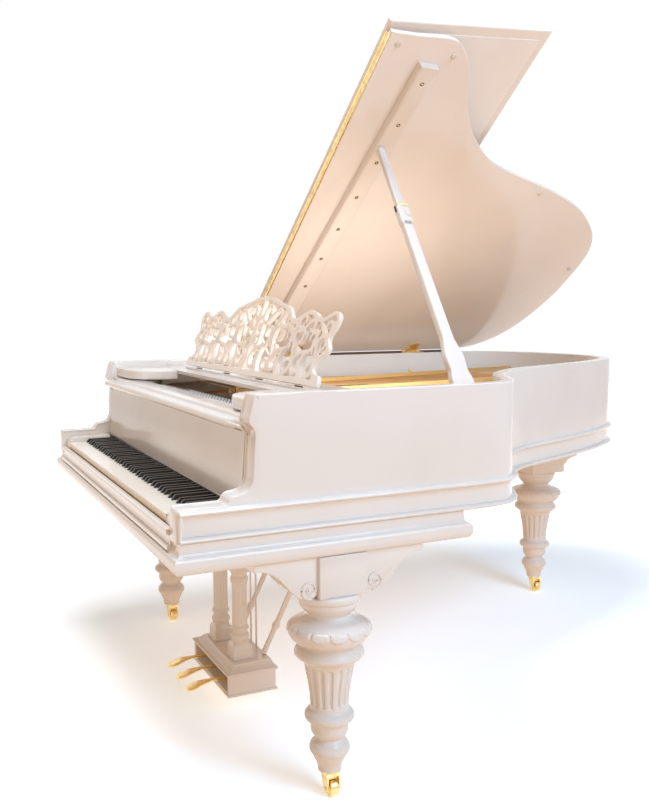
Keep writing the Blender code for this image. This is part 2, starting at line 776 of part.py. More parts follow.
LEG_PROFILE = [
    (0, LEG_TOP), (0.070, LEG_TOP), (0.078, 0.511), (0.078, 0.503), (0.074, 0.495), (0.0715, 0.485),
    (0.058, 0.469), (0.0535, 0.461), (0.062, 0.451), (0.090, 0.440), (0.101, 0.427), (0.098, 0.411),
    (0.082, 0.394), (0.075, 0.384), (0.083, 0.373), (0.0854, 0.366), (0.080, 0.356), (0.066, 0.343),
    (0.061, 0.330), (0.0505, 0.283), (0.0463, 0.230), (0.050, 0.216), (0.0610, 0.207),
    (0.060, 0.198), (0.048, 0.184), (0.0460, 0.172), (0.037, 0.151), (0.0343, 0.145),
    (0.046, 0.131), (0.0497, 0.121), (0.045, 0.109), (0.034, 0.096), (0.030, 0.076),
    (0.027, LEG_FOOT), (0, LEG_FOOT),
]


def leg_places():
    return (
        ("front_bass", -FRONT_LEG[0], FRONT_LEG[1]),
        ("front_treble", FRONT_LEG[0], FRONT_LEG[1]),
        ("rear", *REAR_LEG),
    )


def legs(parent):
    shared = None
    for name, x, y in leg_places():
        leg = turned(f"leg_{name}", LEG_PROFILE, WHITE, parent, location=(x, y, 0), mesh=shared)
        shared = leg.data


def scroll_bracket(y, direction):
    """Side view of one scroll bracket; direction is -1 towards the front, +1 towards the rear."""
    line = [
        (0.222, 0.6177), (0.222, 0.6000), (0.195, 0.5965), (0.172, 0.5850), (0.152, 0.5650),
        (0.134, 0.5430), (0.116, 0.5270), (0.096, 0.5190), (0.080, 0.5190), (0.068, 0.5260),
        (0.064, 0.5400), (0.055, 0.5500), (0.055, 0.6177),
    ]
    return [(y + direction * reach, z) for reach, z in line]


def front_leg_block(name, x, y, parent):
    half = 0.063
    foot = LEG_TOP + GAP
    top = KEYBED_FOOT - GAP
    block = add(f"leg_block_{name}", box((x - half, y - half, foot), (x + half, y + half, top)),
                WHITE, parent)
    brackets = [flat(scroll_bracket(y, d), x - 0.052, x + 0.052, SIDE) for d in (-1, 1)]
    boolean(block, "UNION", joined(*brackets))


def rear_leg_block(x, y, parent):
    """A square block that flares in a cove to a plate under the rim."""
    levels = [
        (LEG_TOP + GAP, 0.078), (0.5200, 0.080), (0.5480, 0.080), (0.5520, 0.084), (0.5680, 0.091),
        (0.5800, 0.102), (0.5840, 0.108), (0.5860, 0.116), (0.6080, 0.116), (0.6100, 0.100),
        (RIM_FOOT - GAP, 0.100),
    ]
    rings = [[(x + a * h, y + b * h, z) for a, b in ((-1, -1), (1, -1), (1, 1), (-1, 1))]
             for z, h in levels]
    add("leg_block_rear", loft(rings), WHITE, parent)


def leg_blocks(parent):
    for name, x, y in leg_places():
        if name == "rear":
            rear_leg_block(x, y, parent)
        else:
            front_leg_block(name, x, y, parent)


def caster_fork(name, x, y, parent):
    """A swivelling yoke: a round crown, two cheeks and the wheel's pin, in one casting."""
    crown = cylinder(0.024, (0, 0, LEG_FOOT - 0.0060), (0, 0, LEG_FOOT - GAP))
    swivel = empty(f"caster_axis_{name}", parent, (x, y, 0))
    fork = add(f"caster_fork_{name}", crown, BRASS, swivel, smooth=40)
    cheek = [(-0.016, 0.0620), (0.021, 0.0620), (0.0240, 0.045), (0.0230, 0.0180), (0.0170, 0.0130),
             (0.0090, 0.0130), (0.0030, 0.0200), (-0.006, 0.045)]
    yoke = flat(cheek, -0.0185, 0.0185, FRONT)
    boolean(fork, "UNION", yoke)
    boolean(fork, "DIFFERENCE", box((-0.03, -0.0135, -0.01), (0.05, 0.0135, 0.0535)))
    centre = (WHEEL_TRAIL, 0, WHEEL_RADIUS)
    pin = cylinder(0.0040, (centre[0], -0.016, centre[2]), (centre[0], 0.016, centre[2]), 12)
    boolean(fork, "UNION", pin)
    return swivel, centre


def caster_wheel(name, swivel, centre):
    """A rounded tread with a bore, turned about the pin of its fork."""
    half = 0.0125
    bore, hub = 0.0044, 0.009
    profile = [(bore, half), (hub, half), (0.017, 0.0105), (0.0205, 0.0085), (WHEEL_RADIUS, 0.0050),
               (WHEEL_RADIUS, -0.0050), (0.0205, -0.0085), (0.017, -0.0105), (hub, -half),
               (bore, -half), (bore, half)]
    wheel = turned(f"caster_wheel_{name}", profile, BRASS, swivel, steps=20, location=centre)
    wheel.rotation_euler = (math.radians(90), math.radians(90), 0)


def casters(parent):
    for name, x, y in leg_places():
        swivel, centre = caster_fork(name, x, y, parent)
        caster_wheel(name, swivel, centre)


def lyre_columns(parent):
    """Square base, collars, round shaft, upper collar and square head, all in one column."""
    top = KEYBED_FOOT - GAP
    levels = [
        ("square", 0.033, BOX_TOP + GAP), ("square", 0.033, 0.142), ("square", 0.029, 0.146),
        ("square", 0.029, 0.180), ("square", 0.025, 0.186), ("round", 0.029, 0.194),
        ("round", 0.031, 0.202), ("round", 0.026, 0.210), ("round", 0.0225, 0.216),
        ("round", 0.0285, 0.224), ("round", 0.0285, 0.232), ("round", 0.0235, 0.240),
        ("round", 0.0235, 0.3675), ("round", 0.0265, 0.371), ("round", 0.0285, 0.379),
        ("round", 0.0255, 0.387), ("round", 0.0235, 0.392), ("round", 0.027, 0.400),
        ("square", 0.029, 0.406), ("square", 0.029, 0.585), ("square", 0.033, 0.592),
        ("square", 0.033, top),
    ]
    for name, side in (("bass", -1), ("treble", 1)):
        centre = (side * COLUMN_X, COLUMN_Y)
        rings = []
        for shape, size, z in levels:
            ring = square_ring if shape == "square" else round_ring
            rings.append(ring(size, z, 16, centre))
        add(f"lyre_column_{name}", loft(rings), WHITE, parent, smooth=30)


def pedal_box(parent):
    levels = [
        (0.0460, 0.171, 0.322, 0.480), (0.0520, 0.171, 0.322, 0.480), (0.0540, 0.167, 0.326, 0.476),
        (0.1080, 0.167, 0.326, 0.476), (0.1100, 0.172, 0.320, 0.482), (0.1160, 0.172, 0.320, 0.482),
        (0.1180, 0.164, 0.330, 0.478), (0.1240, 0.152, 0.342, 0.474), (0.1300, 0.145, 0.348, 0.472),
        (BOX_TOP, 0.143, 0.350, 0.471),
    ]
    case = add("pedal_box", loft([rectangle_ring(x, a, b, z) for z, x, a, b in levels]), WHITE,
               parent)
    boolean(case, "DIFFERENCE", box((-0.152, 0.300, 0.0560), (0.152, 0.446, 0.1065)))


def pedal_shape(x):
    """A brass lever with a drooping, flared toe: (y, z, half width, half thickness) in turn."""
    stations = [
        (0.4350, 0.078, 0.0070, 0.0050), (0.3300, 0.081, 0.0070, 0.0050),
        (0.3000, 0.082, 0.0075, 0.0045), (0.2750, 0.080, 0.0110, 0.0042),
        (0.2520, 0.074, 0.0180, 0.0040), (0.2340, 0.068, 0.0195, 0.0038),
        (0.2200, 0.064, 0.0150, 0.0032), (0.2150, 0.063, 0.0080, 0.0025),
    ]
    rings = []
    for y, z, wide, thick in stations:
        ring = []
        for k in range(8):
            angle = 2 * math.pi * (k + 0.5) / 8
            ring.append((x + wide * math.cos(angle) * 1.08, y, z + thick * math.sin(angle) * 1.08))
        rings.append(ring)
    return loft(rings)


def pedals(parent):
    for name, x in (("soft", -PEDAL_X), ("sostenuto", 0.0), ("damper", PEDAL_X)):
        add(f"pedal_{name}", pedal_shape(x), BRASS, parent, origin=(x, *PEDAL_HINGE), smooth=40)


def lyre_rods(parent):
    """Turned braces from the back of the pedal box up to the keybed."""
    profile = [(0, 0.60), (0.0095, 0.60), (0.0080, 0.105), (0.0125, 0.100), (0.0125, 0.092),
               (0.0080, 0.087), (0.0085, -0.02), (0, -0.02)]
    foot = Vector((0, 0.460, BOX_TOP))
    head = Vector((0, 0.706, KEYBED_FOOT))
    tilt = math.atan2(foot.y - head.y, head.z - foot.z)
    for name, side in (("bass", -1), ("treble", 1)):
        x = side * 0.105
        rod = turned(f"lyre_rod_{name}", profile, WHITE, parent, 10, (x, foot.y, foot.z))
        rod.rotation_euler = (tilt, 0, 0)
        keep = box((x - 0.05, 0.40, BOX_TOP + GAP), (x + 0.05, 0.80, KEYBED_FOOT - GAP))
        boolean(rod, "INTERSECT", keep)


# The action

def key_frame(parent):
    outline = [(-0.6112, 0.030), (0.6112, 0.030), (0.6112, 0.176), (0.6710, 0.196), (0.6710, 0.455),
               (-0.6710, 0.455), (-0.6710, 0.196), (-0.6112, 0.176)]
    frame = add("key_frame", flat(outline, KEYBED_TOP + GAP, 0.690), MAPLE, parent)
    y = KEY_BALANCE[0]
    boolean(frame, "UNION", box((-0.6720, y - 0.012, 0.680), (0.6720, y + 0.012, 0.7030)))


def key_layout():
    """Left edge of each natural and the middle of each sharp, by semitone from the low A."""
    width = KEYBOARD / NATURALS
    shift = {1: -0.13, 4: 0.0, 6: -0.13, 9: 0.13, 11: 0.17}
    sharp_steps = {1: 0.17, 4: -0.13, 6: 0.13, 9: -0.17, 11: 0.0}
    naturals, sharps = [], []
    edge = -KEYBOARD / 2
    for key in range(88):
        step = key % 12
        if step in shift:
            sharps.append((key, edge + sharp_steps[step] * width))
        else:
            naturals.append((key, edge))
            edge += width
    return naturals, sharps, width


def natural_outline(left, width, sharps, back):
    """One natural key in plan, with its notches beside the neighbouring sharps."""
    right = left + width - KEY_GAP / 2
    left = left + KEY_GAP / 2
    room = SHARP_WIDTH / 2 + KEY_GAP
    notch = SHARP_FRONT - KEY_GAP
    slim_left, slim_right = left, right
    for _, middle in sharps:
        if left - room < middle < left + room:
            slim_left = middle + room
        if right - room < middle < right + room:
            slim_right = middle - room
    return [(left, KEY_FRONT), (right, KEY_FRONT), (right, notch), (slim_right, notch),
            (slim_right, back), (slim_left, back), (slim_left, notch), (left, notch)]


SINGLE_KEYS = {39: "key_c4", 40: "key_c_sharp4", 41: "key_d4", 42: "key_d_sharp4", 43: "key_e4"}


def natural_keys(parent):
    naturals, sharps, width = key_layout()
    axis = (0, *KEY_BALANCE)
    back = 0.402
    teeth = []
    for key, left in naturals:
        outline = natural_outline(left, width, sharps, back)
        if key in SINGLE_KEYS:
            add(SINGLE_KEYS[key], flat(outline, KEY_FOOT, KEY_TOP), IVORY, parent, origin=axis)
        else:
            outline = natural_outline(left, width, sharps, 0.420)
            teeth.append(flat(outline, KEY_FOOT, KEY_TOP))
    keys = add("white_keys", joined(*teeth), IVORY, parent, origin=axis)
    bar = box((-0.610, 0.4060, KEY_FOOT + 0.002), (0.610, 0.440, KEY_TOP - 0.002))
    boolean(keys, "UNION", bar)


def sharp_shape(middle, cap_back):
    """One sharp in side view: its stick between the naturals and the raised cap."""
    side = [(SHARP_FRONT, KEY_FOOT), (0.395, KEY_FOOT), (0.395, 0.7275), (cap_back, 0.7275),
            (cap_back, SHARP_TOP), (SHARP_FRONT + 0.009, SHARP_TOP), (SHARP_FRONT, 0.7300)]
    half = SHARP_WIDTH / 2
    return flat(side, middle - half, middle + half, SIDE)


def sharp_keys(parent):
    _, sharps, _ = key_layout()
    axis = (0, *KEY_BALANCE)
    teeth = []
    for key, middle in sharps:
        if key in SINGLE_KEYS:
            add(SINGLE_KEYS[key], sharp_shape(middle, 0.171), EBONY, parent, origin=axis)
        else:
            teeth.append(sharp_shape(middle, 0.1835))
    keys = add("black_keys", joined(*teeth), EBONY, parent, origin=axis)
    first, last = sharps[0][1], sharps[-1][1]
    bar = box((first, 0.1745, 0.7335), (last, 0.1820, 0.7395))
    boolean(keys, "UNION", bar)


def hammers(parent):
    """Hammers side by side on their rail, with a bracket down to the key frame at each end."""
    side = [(0.440, 0.8400), (0.550, 0.8400), (0.554, 0.8460), (0.557, 0.8800), (0.552, 0.8900),
            (0.544, 0.8900), (0.539, 0.8800), (0.542, 0.8480), (0.440, 0.8480)]
    count = 30
    teeth = []
    for k in range(count):
        x = -0.590 + 1.170 * k / (count - 1)
        teeth.append(flat(side, x - 0.004, x + 0.004, SIDE))
    comb = add("hammers", joined(*teeth), FELT, parent)
    boolean(comb, "UNION", box((-0.662, 0.432, 0.8380), (0.662, 0.452, 0.8500)))
    ends = [box((x - 0.010, 0.434, 0.6903), (x + 0.010, 0.450, 0.8400)) for x in (-0.645, 0.645)]
    boolean(comb, "UNION", joined(*ends))


def gaps_between(pairs, y, start):
    """Middle of every second gap between neighbouring strings, at one distance back."""
    places = [x + lean * (y - start) for x, lean in pairs]
    return [(a + b) / 2 for a, b in zip(places[::2], places[1::2])]


def dampers(parent):
    """Damper heads over the strings, on wires that drop between them to one lifting tray."""
    y, start = 0.576, BAR[0]
    heads = []
    for pairs, foot in ((treble_pairs()[:16], TREBLE_WIRE), (bass_pairs()[:12], BASS_WIRE)):
        for x in gaps_between(pairs, y, start):
            low = foot + WIRE + GAP
            heads.append((x, low))
    pieces = []
    for x, low in heads:
        pieces.append(box((x - 0.0130, y - 0.016, low), (x + 0.0130, y + 0.016, low + 0.022)))
    rods = [box((x - 0.0015, y - 0.0015, 0.8350), (x + 0.0015, y + 0.0015, low + 0.006))
            for x, low in heads]
    left = min(x for x, _ in heads) - 0.012
    right = max(x for x, _ in heads) + 0.012
    tray = add("dampers", box((left, y - 0.008, 0.8300), (right, y + 0.008, 0.8420)), FELT, parent)
    boolean(tray, "UNION", joined(*rods))
    boolean(tray, "UNION", joined(*pieces))


def build():
    front = empty("piano_front", location=(0, -LENGTH / 2, 0))
    outer_rim(front)
    inner_rim(front)
    keybed(front)
    key_slip(front)
    key_blocks(front)
    front_rail(front)
    name_board(front)
    fallboard(front)
    soundboard(front)
    bridges(front)
    pin_block(front)
    cast_iron_plate(front)
    strings(front)
    lid_axis = empty("lid_axis", front, (LID_HINGE[0], 0, LID_HINGE[1]),
                     (0, -math.radians(LID_ANGLE), 0))
    lid(lid_axis)
    lid_batten(lid_axis)
    lid_hinges(front)
    lid_prop(front)
    prop_bracket(front)
    slide = empty("desk_slide", front)
    desk_shelf(slide)
    desk_trays(slide)
    panel = music_desk(slide)
    desk_strut(panel)
    legs(front)
    leg_blocks(front)
    casters(front)
    lyre_columns(front)
    pedal_box(front)
    pedals(front)
    lyre_rods(front)
    action = empty("action_slide", front)
    key_frame(action)
    natural_keys(action)
    sharp_keys(action)
    hammers(action)
    dampers(front)


build()
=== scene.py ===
"""White Victorian grand piano: the photo's camera and light, and the finished surfaces.

Every place here is in the row frame: the treble side is +X, the tail is +Y and the floor is z = 0.
The case is drawn from the front of the keybed, so a point's y in the frame is its distance
behind that front plus FRONT.
"""

import math

import bmesh
import bpy
import numpy as np
from mathutils import Matrix, Vector
from mathutils.geometry import tessellate_polygon


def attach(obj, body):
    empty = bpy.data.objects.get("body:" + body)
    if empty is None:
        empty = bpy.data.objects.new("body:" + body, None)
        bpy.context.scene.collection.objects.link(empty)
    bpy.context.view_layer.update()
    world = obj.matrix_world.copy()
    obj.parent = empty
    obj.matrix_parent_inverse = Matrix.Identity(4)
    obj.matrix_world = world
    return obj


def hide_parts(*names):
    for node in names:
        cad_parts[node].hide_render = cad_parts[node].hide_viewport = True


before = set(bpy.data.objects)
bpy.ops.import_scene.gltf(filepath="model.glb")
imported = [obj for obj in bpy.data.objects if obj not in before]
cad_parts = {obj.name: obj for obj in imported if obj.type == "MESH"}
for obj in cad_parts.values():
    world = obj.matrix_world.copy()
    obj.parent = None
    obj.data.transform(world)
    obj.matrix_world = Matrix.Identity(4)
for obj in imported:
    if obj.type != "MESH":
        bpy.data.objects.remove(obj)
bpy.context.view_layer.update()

# Driving dimensions, the same as the solids have
LENGTH = 2.020
FRONT = -LENGTH / 2
CASE_HALF = 0.735
RIM_TOP = 1.003
RIM_FOOT = 0.6855
RIM_WALL = 0.036
ARM_INNER = 0.680
ARM_FRONT = 0.012
LID_HINGE = (-0.739, 1.012)
LID_ANGLE = math.radians(37.5)
LID_UNDER = -0.004
LID_THICK = 0.020
FOLD_Y = 0.708
FOLD_UP = 0.0172
FLAP_REST = math.radians(7.0)
FLAP_DEPTH = 0.580
BATTEN_DROP = 0.025
HINGE_PLACES = (("front", 0.950), ("rear", 1.500))
KNUCKLES = 24
BATTEN_SCREWS = 8
LEG_TOP = 0.517
KEY_TOP = 0.728
BOARD_HALF = 0.6780
BEADS = (0.7515, 0.6925)
COLUMN_PLACE = (0.087, 0.392)
PEDAL_SPACING = 0.097
LACQUER = (0.825, 0.795, 0.772)
# The lid is the same white lacquer as the case; its colour is tinted warmer and darker as painted warm
# bounce light and shade on its underside
LID_LACQUER_PAINTED_WARM = (0.820, 0.755, 0.705)
# The music desk is the same white lacquer as the case; its colour is tinted darker and warmer as painted
# shade on its front faces
DESK_LACQUER_PAINTED_SHADE = (0.880, 0.800, 0.725)
LEG_PLACES = {"front_bass": (-0.687, 0.400), "front_treble": (0.687, 0.400), "rear": (-0.352, 1.880)}

# Light: the treble side gets cool daylight, the front and the undersides a warm room's light.
# The floor's glow is (near, far) and changes between the two distances of its fade; its light
# and the ambient light are (colour, strength). A lamp is (name, place, target, size, watts,
# colour, whether gloss mirrors it).
FLOOR_GLOW = ((0.19, 0.27, 0.33), (0.93, 0.94, 0.95))
FLOOR_FADE = (1.35, 2.6)
FLOOR_LIGHT = ((0.84, 0.58, 0.39), 1.0)
FLOOR_HALF = 9
SWEEP_COLOUR = (0.80, 0.86, 0.91)
SHEET_COLOUR = (0.56, 0.60, 0.64)
AMBIENT = ((1.0, 0.68, 0.44), 0.26)
LAMPS = [
    ("side_daylight", (3.8, 1.0, 3.8), (0, 0, 0.8), (2.0, 2.0), 104, (0.40, 0.69, 1.0), True),
    ("side_fill", (3.8, 0.2, 1.6), (0, 0.1, 1.1), (2.2, 2.0), 36, (0.94, 0.97, 1.0), False),
    ("front_room", (2.0, -3.8, 1.0), (0, 0, 1.0), (2.2, 1.8), 8, (1.0, 0.62, 0.34), True),
    ("ceiling", (0.5, -1.2, 4.4), (0.2, -0.4, 0.8), (1.6, 1.6), 100, (0.92, 0.93, 0.95), True),
    ("inner_bounce", (0.28, -0.12, 1.00), (-0.7, -0.12, 1.10), (0.6, 0.16), 3.4, (1.0, 0.89, 0.82), False),
]

# The photo's camera: its turn is (azimuth, pitch, roll) in degrees, its shift is across and up
CAMERA_PLACE = (2.531, -0.510 + FRONT, 1.186)
CAMERA_TURN = (64.567, -6.363, -0.277)
CAMERA_LENS = 39.583
CAMERA_SHIFT = (0.010938, 0.01055)

# The rim's outer face seen from above, from the treble side round the tail to the bass side
BENT_RIM = [
    (0.735, 0.790), (0.727, 0.872), (0.703, 0.925), (0.625, 0.985), (0.505, 1.052),
    (0.418, 1.133), (0.343, 1.232), (0.291, 1.345), (0.250, 1.455), (0.203, 1.575),
    (0.153, 1.690), (0.095, 1.800), (0.018, 1.910), (-0.105, 1.985), (-0.250, 2.006),
    (-0.400, 1.994), (-0.560, 1.945), (-0.680, 1.860), (-0.728, 1.760), (-0.735, 1.660),
]


# Shaders

def shader(name, colour, roughness, metallic=0.0, coat=0.0):
    """A finish with its plain values on the shader's own sockets."""
    finish = bpy.data.materials.new(name)
    finish.use_nodes = True
    surface = finish.node_tree.nodes["Principled BSDF"]
    surface.inputs["Base Color"].default_value = (*colour, 1.0)
    surface.inputs["Roughness"].default_value = roughness
    surface.inputs["Metallic"].default_value = metallic
    surface.inputs["Coat Weight"].default_value = coat
    surface.inputs["Coat Roughness"].default_value = 0.04
    finish.diffuse_color = (*colour, 1.0)
    return finish, finish.node_tree, surface


def add_node(tree, kind, **values):
    """A shader node whose sockets or settings of the given names take the given values."""
    node = tree.nodes.new(kind)
    for key, value in values.items():
        if key in node.inputs:
            node.inputs[key].default_value = value
        else:
            setattr(node, key, value)
    return node


def object_space(tree, scale=(1, 1, 1), turn=(0, 0, 0)):
    """Object coordinates in metres, stretched along the axes so that a grain has a direction."""
    place = add_node(tree, "ShaderNodeTexCoord")
    mapping = add_node(tree, "ShaderNodeMapping", Scale=scale, Rotation=turn)
    tree.links.new(place.outputs["Object"], mapping.inputs["Vector"])
    return mapping.outputs["Vector"]


def noise(tree, space, scale, detail=3.0, roughness=0.5):
    """Cloudy noise between 0 and 1; a larger scale gives smaller clouds."""
    node = add_node(tree, "ShaderNodeTexNoise", Scale=scale, Detail=detail, Roughness=roughness)
    tree.links.new(space, node.inputs["Vector"])
    return node.outputs["Fac"]


def blend_colours(tree, share, stops):
    """A colour from a share between 0 and 1, through (position, colour) stops."""
    ramp = add_node(tree, "ShaderNodeValToRGB")
    tree.links.new(share, ramp.inputs["Fac"])
    marks = ramp.color_ramp.elements
    while len(marks) < len(stops):
        marks.new(0.5)
    for mark, (position, colour) in zip(marks, stops):
        mark.position = position
        mark.color = (*colour, 1.0)
    return ramp.outputs["Color"]


def spread(tree, share, low, high):
    """A share between 0 and 1 turned into a value between low and high."""
    node = add_node(tree, "ShaderNodeMapRange")
    node.inputs["To Min"].default_value = low
    node.inputs["To Max"].default_value = high
    tree.links.new(share, node.inputs["Value"])
    return node.outputs["Result"]


def relief(tree, surface, height, depth):
    """Bump of a real depth in metres."""
    bump = add_node(tree, "ShaderNodeBump", Distance=depth)
    bump.inputs["Strength"].default_value = 1.0
    tree.links.new(height, bump.inputs["Height"])
    tree.links.new(bump.outputs["Normal"], surface.inputs["Normal"])


def lacquer(name, colour):
    """Sprayed gloss lacquer: a faint orange peel, with slightly yellowed and lighter patches."""
    finish, tree, surface = shader(name, colour, 0.16, coat=0.2)
    surface.inputs["Specular IOR Level"].default_value = 0.36
    space = object_space(tree)
    aged = tuple(value * share for value, share in zip(colour, (0.965, 0.950, 0.935)))
    fresh = tuple(value * share for value, share in zip(colour, (1.02, 1.03, 1.035)))
    tone = blend_colours(tree, noise(tree, space, 3.2, 3.0), [(0.30, aged), (0.52, colour), (0.78, fresh)])
    tree.links.new(tone, surface.inputs["Base Color"])
    tree.links.new(spread(tree, noise(tree, space, 22.0, 4.0), 0.12, 0.21), surface.inputs["Roughness"])
    relief(tree, surface, noise(tree, space, 420.0, 2.0), 0.00004)
    return finish


def ivory():
    """Ivory-white key tops with a faint grain along the key, and cream fronts below the cover."""
    finish, tree, surface = shader("ivory_key", (0.88, 0.83, 0.71), 0.26, coat=0.25)
    grain = noise(tree, object_space(tree, (900, 12, 60)), 1.0, 4.0)
    tone = noise(tree, object_space(tree, (44, 3, 1)), 1.0, 1.0)
    top = blend_colours(tree, grain, [(0.25, (0.93, 0.90, 0.82)), (0.70, (0.98, 0.96, 0.90))])
    side = blend_colours(tree, tone, [(0.2, (0.80, 0.63, 0.38)), (0.8, (0.88, 0.73, 0.48))])
    place = add_node(tree, "ShaderNodeTexCoord")
    parts = add_node(tree, "ShaderNodeSeparateXYZ")
    tree.links.new(place.outputs["Object"], parts.inputs["Vector"])
    cover = add_node(tree, "ShaderNodeMath", operation="GREATER_THAN")
    cover.inputs[1].default_value = KEY_TOP - 0.0030
    tree.links.new(parts.outputs["Z"], cover.inputs[0])
    mix = add_node(tree, "ShaderNodeMix", data_type="RGBA")
    tree.links.new(cover.outputs[0], mix.inputs["Factor"])
    tree.links.new(side, mix.inputs["A"])
    tree.links.new(top, mix.inputs["B"])
    tree.links.new(mix.outputs["Result"], surface.inputs["Base Color"])
    relief(tree, surface, grain, 0.00003)
    return finish


def ebony():
    """Black-stained wood, polished by fingers: fine pores along the key."""
    finish, tree, surface = shader("ebony_key", (0.016, 0.014, 0.013), 0.30)
    grain = noise(tree, object_space(tree, (1400, 30, 500)), 1.0, 5.0)
    colour = blend_colours(tree, grain, [(0.30, (0.010, 0.008, 0.007)), (0.75, (0.032, 0.026, 0.022))])
    tree.links.new(colour, surface.inputs["Base Color"])
    tree.links.new(spread(tree, grain, 0.22, 0.42), surface.inputs["Roughness"])
    relief(tree, surface, grain, 0.00006)
    return finish


def gilt():
    """Gold-bronze paint on cast iron, with the casting's pebbled skin under it."""
    finish, tree, surface = shader("gilt_iron_paint", (0.88, 0.60, 0.24), 0.34, metallic=0.45, coat=0.3)
    space = object_space(tree)
    flecks = noise(tree, space, 900.0, 2.0)
    colour = blend_colours(tree, flecks, [(0.35, (0.80, 0.51, 0.18)), (0.65, (0.93, 0.66, 0.29))])
    tree.links.new(colour, surface.inputs["Base Color"])
    tree.links.new(spread(tree, noise(tree, space, 30.0), 0.28, 0.48), surface.inputs["Roughness"])
    relief(tree, surface, noise(tree, space, 260.0, 3.0), 0.00022)
    return finish


def polished_brass(name="brass_polished", low=0.14, high=0.34, tone=1.0):
    """Polished brass with a slight tarnish in soft patches and fine rubbing marks."""
    finish, tree, surface = shader(name, (0.80, 0.48, 0.17), 0.2, metallic=1.0)
    space = object_space(tree)
    patches = noise(tree, space, 60.0, 4.0)
    dull, bright = ([value * tone for value in shade] for shade in ((0.72, 0.47, 0.17), (0.98, 0.74, 0.35)))
    colour = blend_colours(tree, patches, [(0.25, dull), (0.60, bright)])
    tree.links.new(colour, surface.inputs["Base Color"])
    tree.links.new(spread(tree, noise(tree, space, 180.0, 3.0), low, high), surface.inputs["Roughness"])
    relief(tree, surface, noise(tree, object_space(tree, (60, 900, 60)), 1.0, 2.0), 0.00002)
    return finish


def wire_steel():
    """Drawn steel, with duller and brighter stretches along the wire."""
    finish, tree, surface = shader("steel_wire_drawn", (0.60, 0.60, 0.61), 0.24, metallic=1.0)
    tone = noise(tree, object_space(tree, (300, 4, 300)), 1.0, 2.0)
    tree.links.new(spread(tree, tone, 0.16, 0.34), surface.inputs["Roughness"])
    return finish


def wound_copper():
    """Copper winding: ridges across the wire, 1.2 mm apart."""
    finish, tree, surface = shader("copper_winding", (0.72, 0.38, 0.20), 0.34, metallic=1.0)
    wave = add_node(tree, "ShaderNodeTexWave", Scale=26.0, bands_direction="Y")
    tree.links.new(object_space(tree), wave.inputs["Vector"])
    tone = noise(tree, object_space(tree, (200, 6, 200)), 1.0, 2.0)
    colour = blend_colours(tree, tone, [(0.3, (0.66, 0.38, 0.16)), (0.7, (0.88, 0.60, 0.30))])
    tree.links.new(colour, surface.inputs["Base Color"])
    relief(tree, surface, wave.outputs["Fac"], 0.0003)
    return finish


def grained(name, dark, light, turn, fine, roughness=0.35, coat=0.3):
    """Varnished wood: rings of colour drawn out along the grain, and finer pores."""
    finish, tree, surface = shader(name, light, roughness, coat=coat)
    rings = noise(tree, object_space(tree, (fine, 1.6, fine), (0, 0, turn)), 1.0, 5.0)
    pores = noise(tree, object_space(tree, (fine * 9, 10, fine * 9), (0, 0, turn)), 1.0, 3.0)
    colour = blend_colours(tree, rings, [(0.32, dark), (0.50, light), (0.72, dark)])
    tree.links.new(colour, surface.inputs["Base Color"])
    relief(tree, surface, pores, 0.00008)
    return finish


def pressed_felt(name, colour, shade):
    """Wool felt: soft clumps and stray fibres."""
    finish, tree, surface = shader(name, colour, 0.95)
    surface.inputs["Sheen Weight"].default_value = 0.4
    surface.inputs["Sheen Roughness"].default_value = 0.5
    space = object_space(tree)
    clumps = noise(tree, space, 700.0, 6.0, 0.7)
    tree.links.new(blend_colours(tree, clumps, [(0.3, shade), (0.7, colour)]), surface.inputs["Base Color"])
    relief(tree, surface, clumps, 0.0003)
    return finish


def dark_hole():
    """The shaded bottom of a screw's recess."""
    finish, tree, surface = shader("recess_shadow", (0.055, 0.030, 0.022), 0.6)
    tone = noise(tree, object_space(tree), 500.0, 3.0)
    tree.links.new(blend_colours(tree, tone, [(0.3, (0.03, 0.016, 0.012)), (0.7, (0.09, 0.05, 0.04))]),
                   surface.inputs["Base Color"])
    return finish


WHITE = lacquer("white_lacquer_gloss", LACQUER)
# White lacquer for the lid, flap and batten, with painted warm bounce light and shade in its colour
LID_WHITE_PAINTED_WARM = lacquer("white_lacquer_painted_warm_light", LID_LACQUER_PAINTED_WARM)
# White lacquer for the fretwork panel, darkened and warmed as painted shade
DESK_WHITE_PAINTED_SHADE = lacquer("white_lacquer_painted_shade", DESK_LACQUER_PAINTED_SHADE)
IVORY = ivory()
EBONY = ebony()
GILT = gilt()
BRASS = polished_brass()
OLD_BRASS = polished_brass("brass_worn", 0.24, 0.46)
DARK_BRASS = polished_brass("brass_tarnished", 0.36, 0.60, 0.22)
STEEL = wire_steel()
COPPER = wound_copper()
SPRUCE = grained("spruce_varnished", (0.62, 0.40, 0.19), (0.80, 0.58, 0.32), 0.7, 90.0)
MAPLE = grained("maple_varnished", (0.55, 0.37, 0.20), (0.72, 0.53, 0.32), 0.0, 40.0)
OLD_MAPLE = grained("maple_graphite", (0.030, 0.028, 0.027), (0.075, 0.068, 0.062), 0.0, 40.0)
WOOL = pressed_felt("wool_felt_white", (0.80, 0.77, 0.71), (0.62, 0.58, 0.52))
RED_FELT = pressed_felt("wool_felt_red", (0.42, 0.05, 0.045), (0.25, 0.025, 0.022))
RECESS = dark_hole()
# Dark brown for the strip under the lid's hinge side: painted shade of the gap between the lid and the bass
# rim
PAINTED_GAP_SHADE = pressed_felt("painted_gap_shade_brown", (0.17, 0.10, 0.065), (0.10, 0.055, 0.035))


# Building surfaces

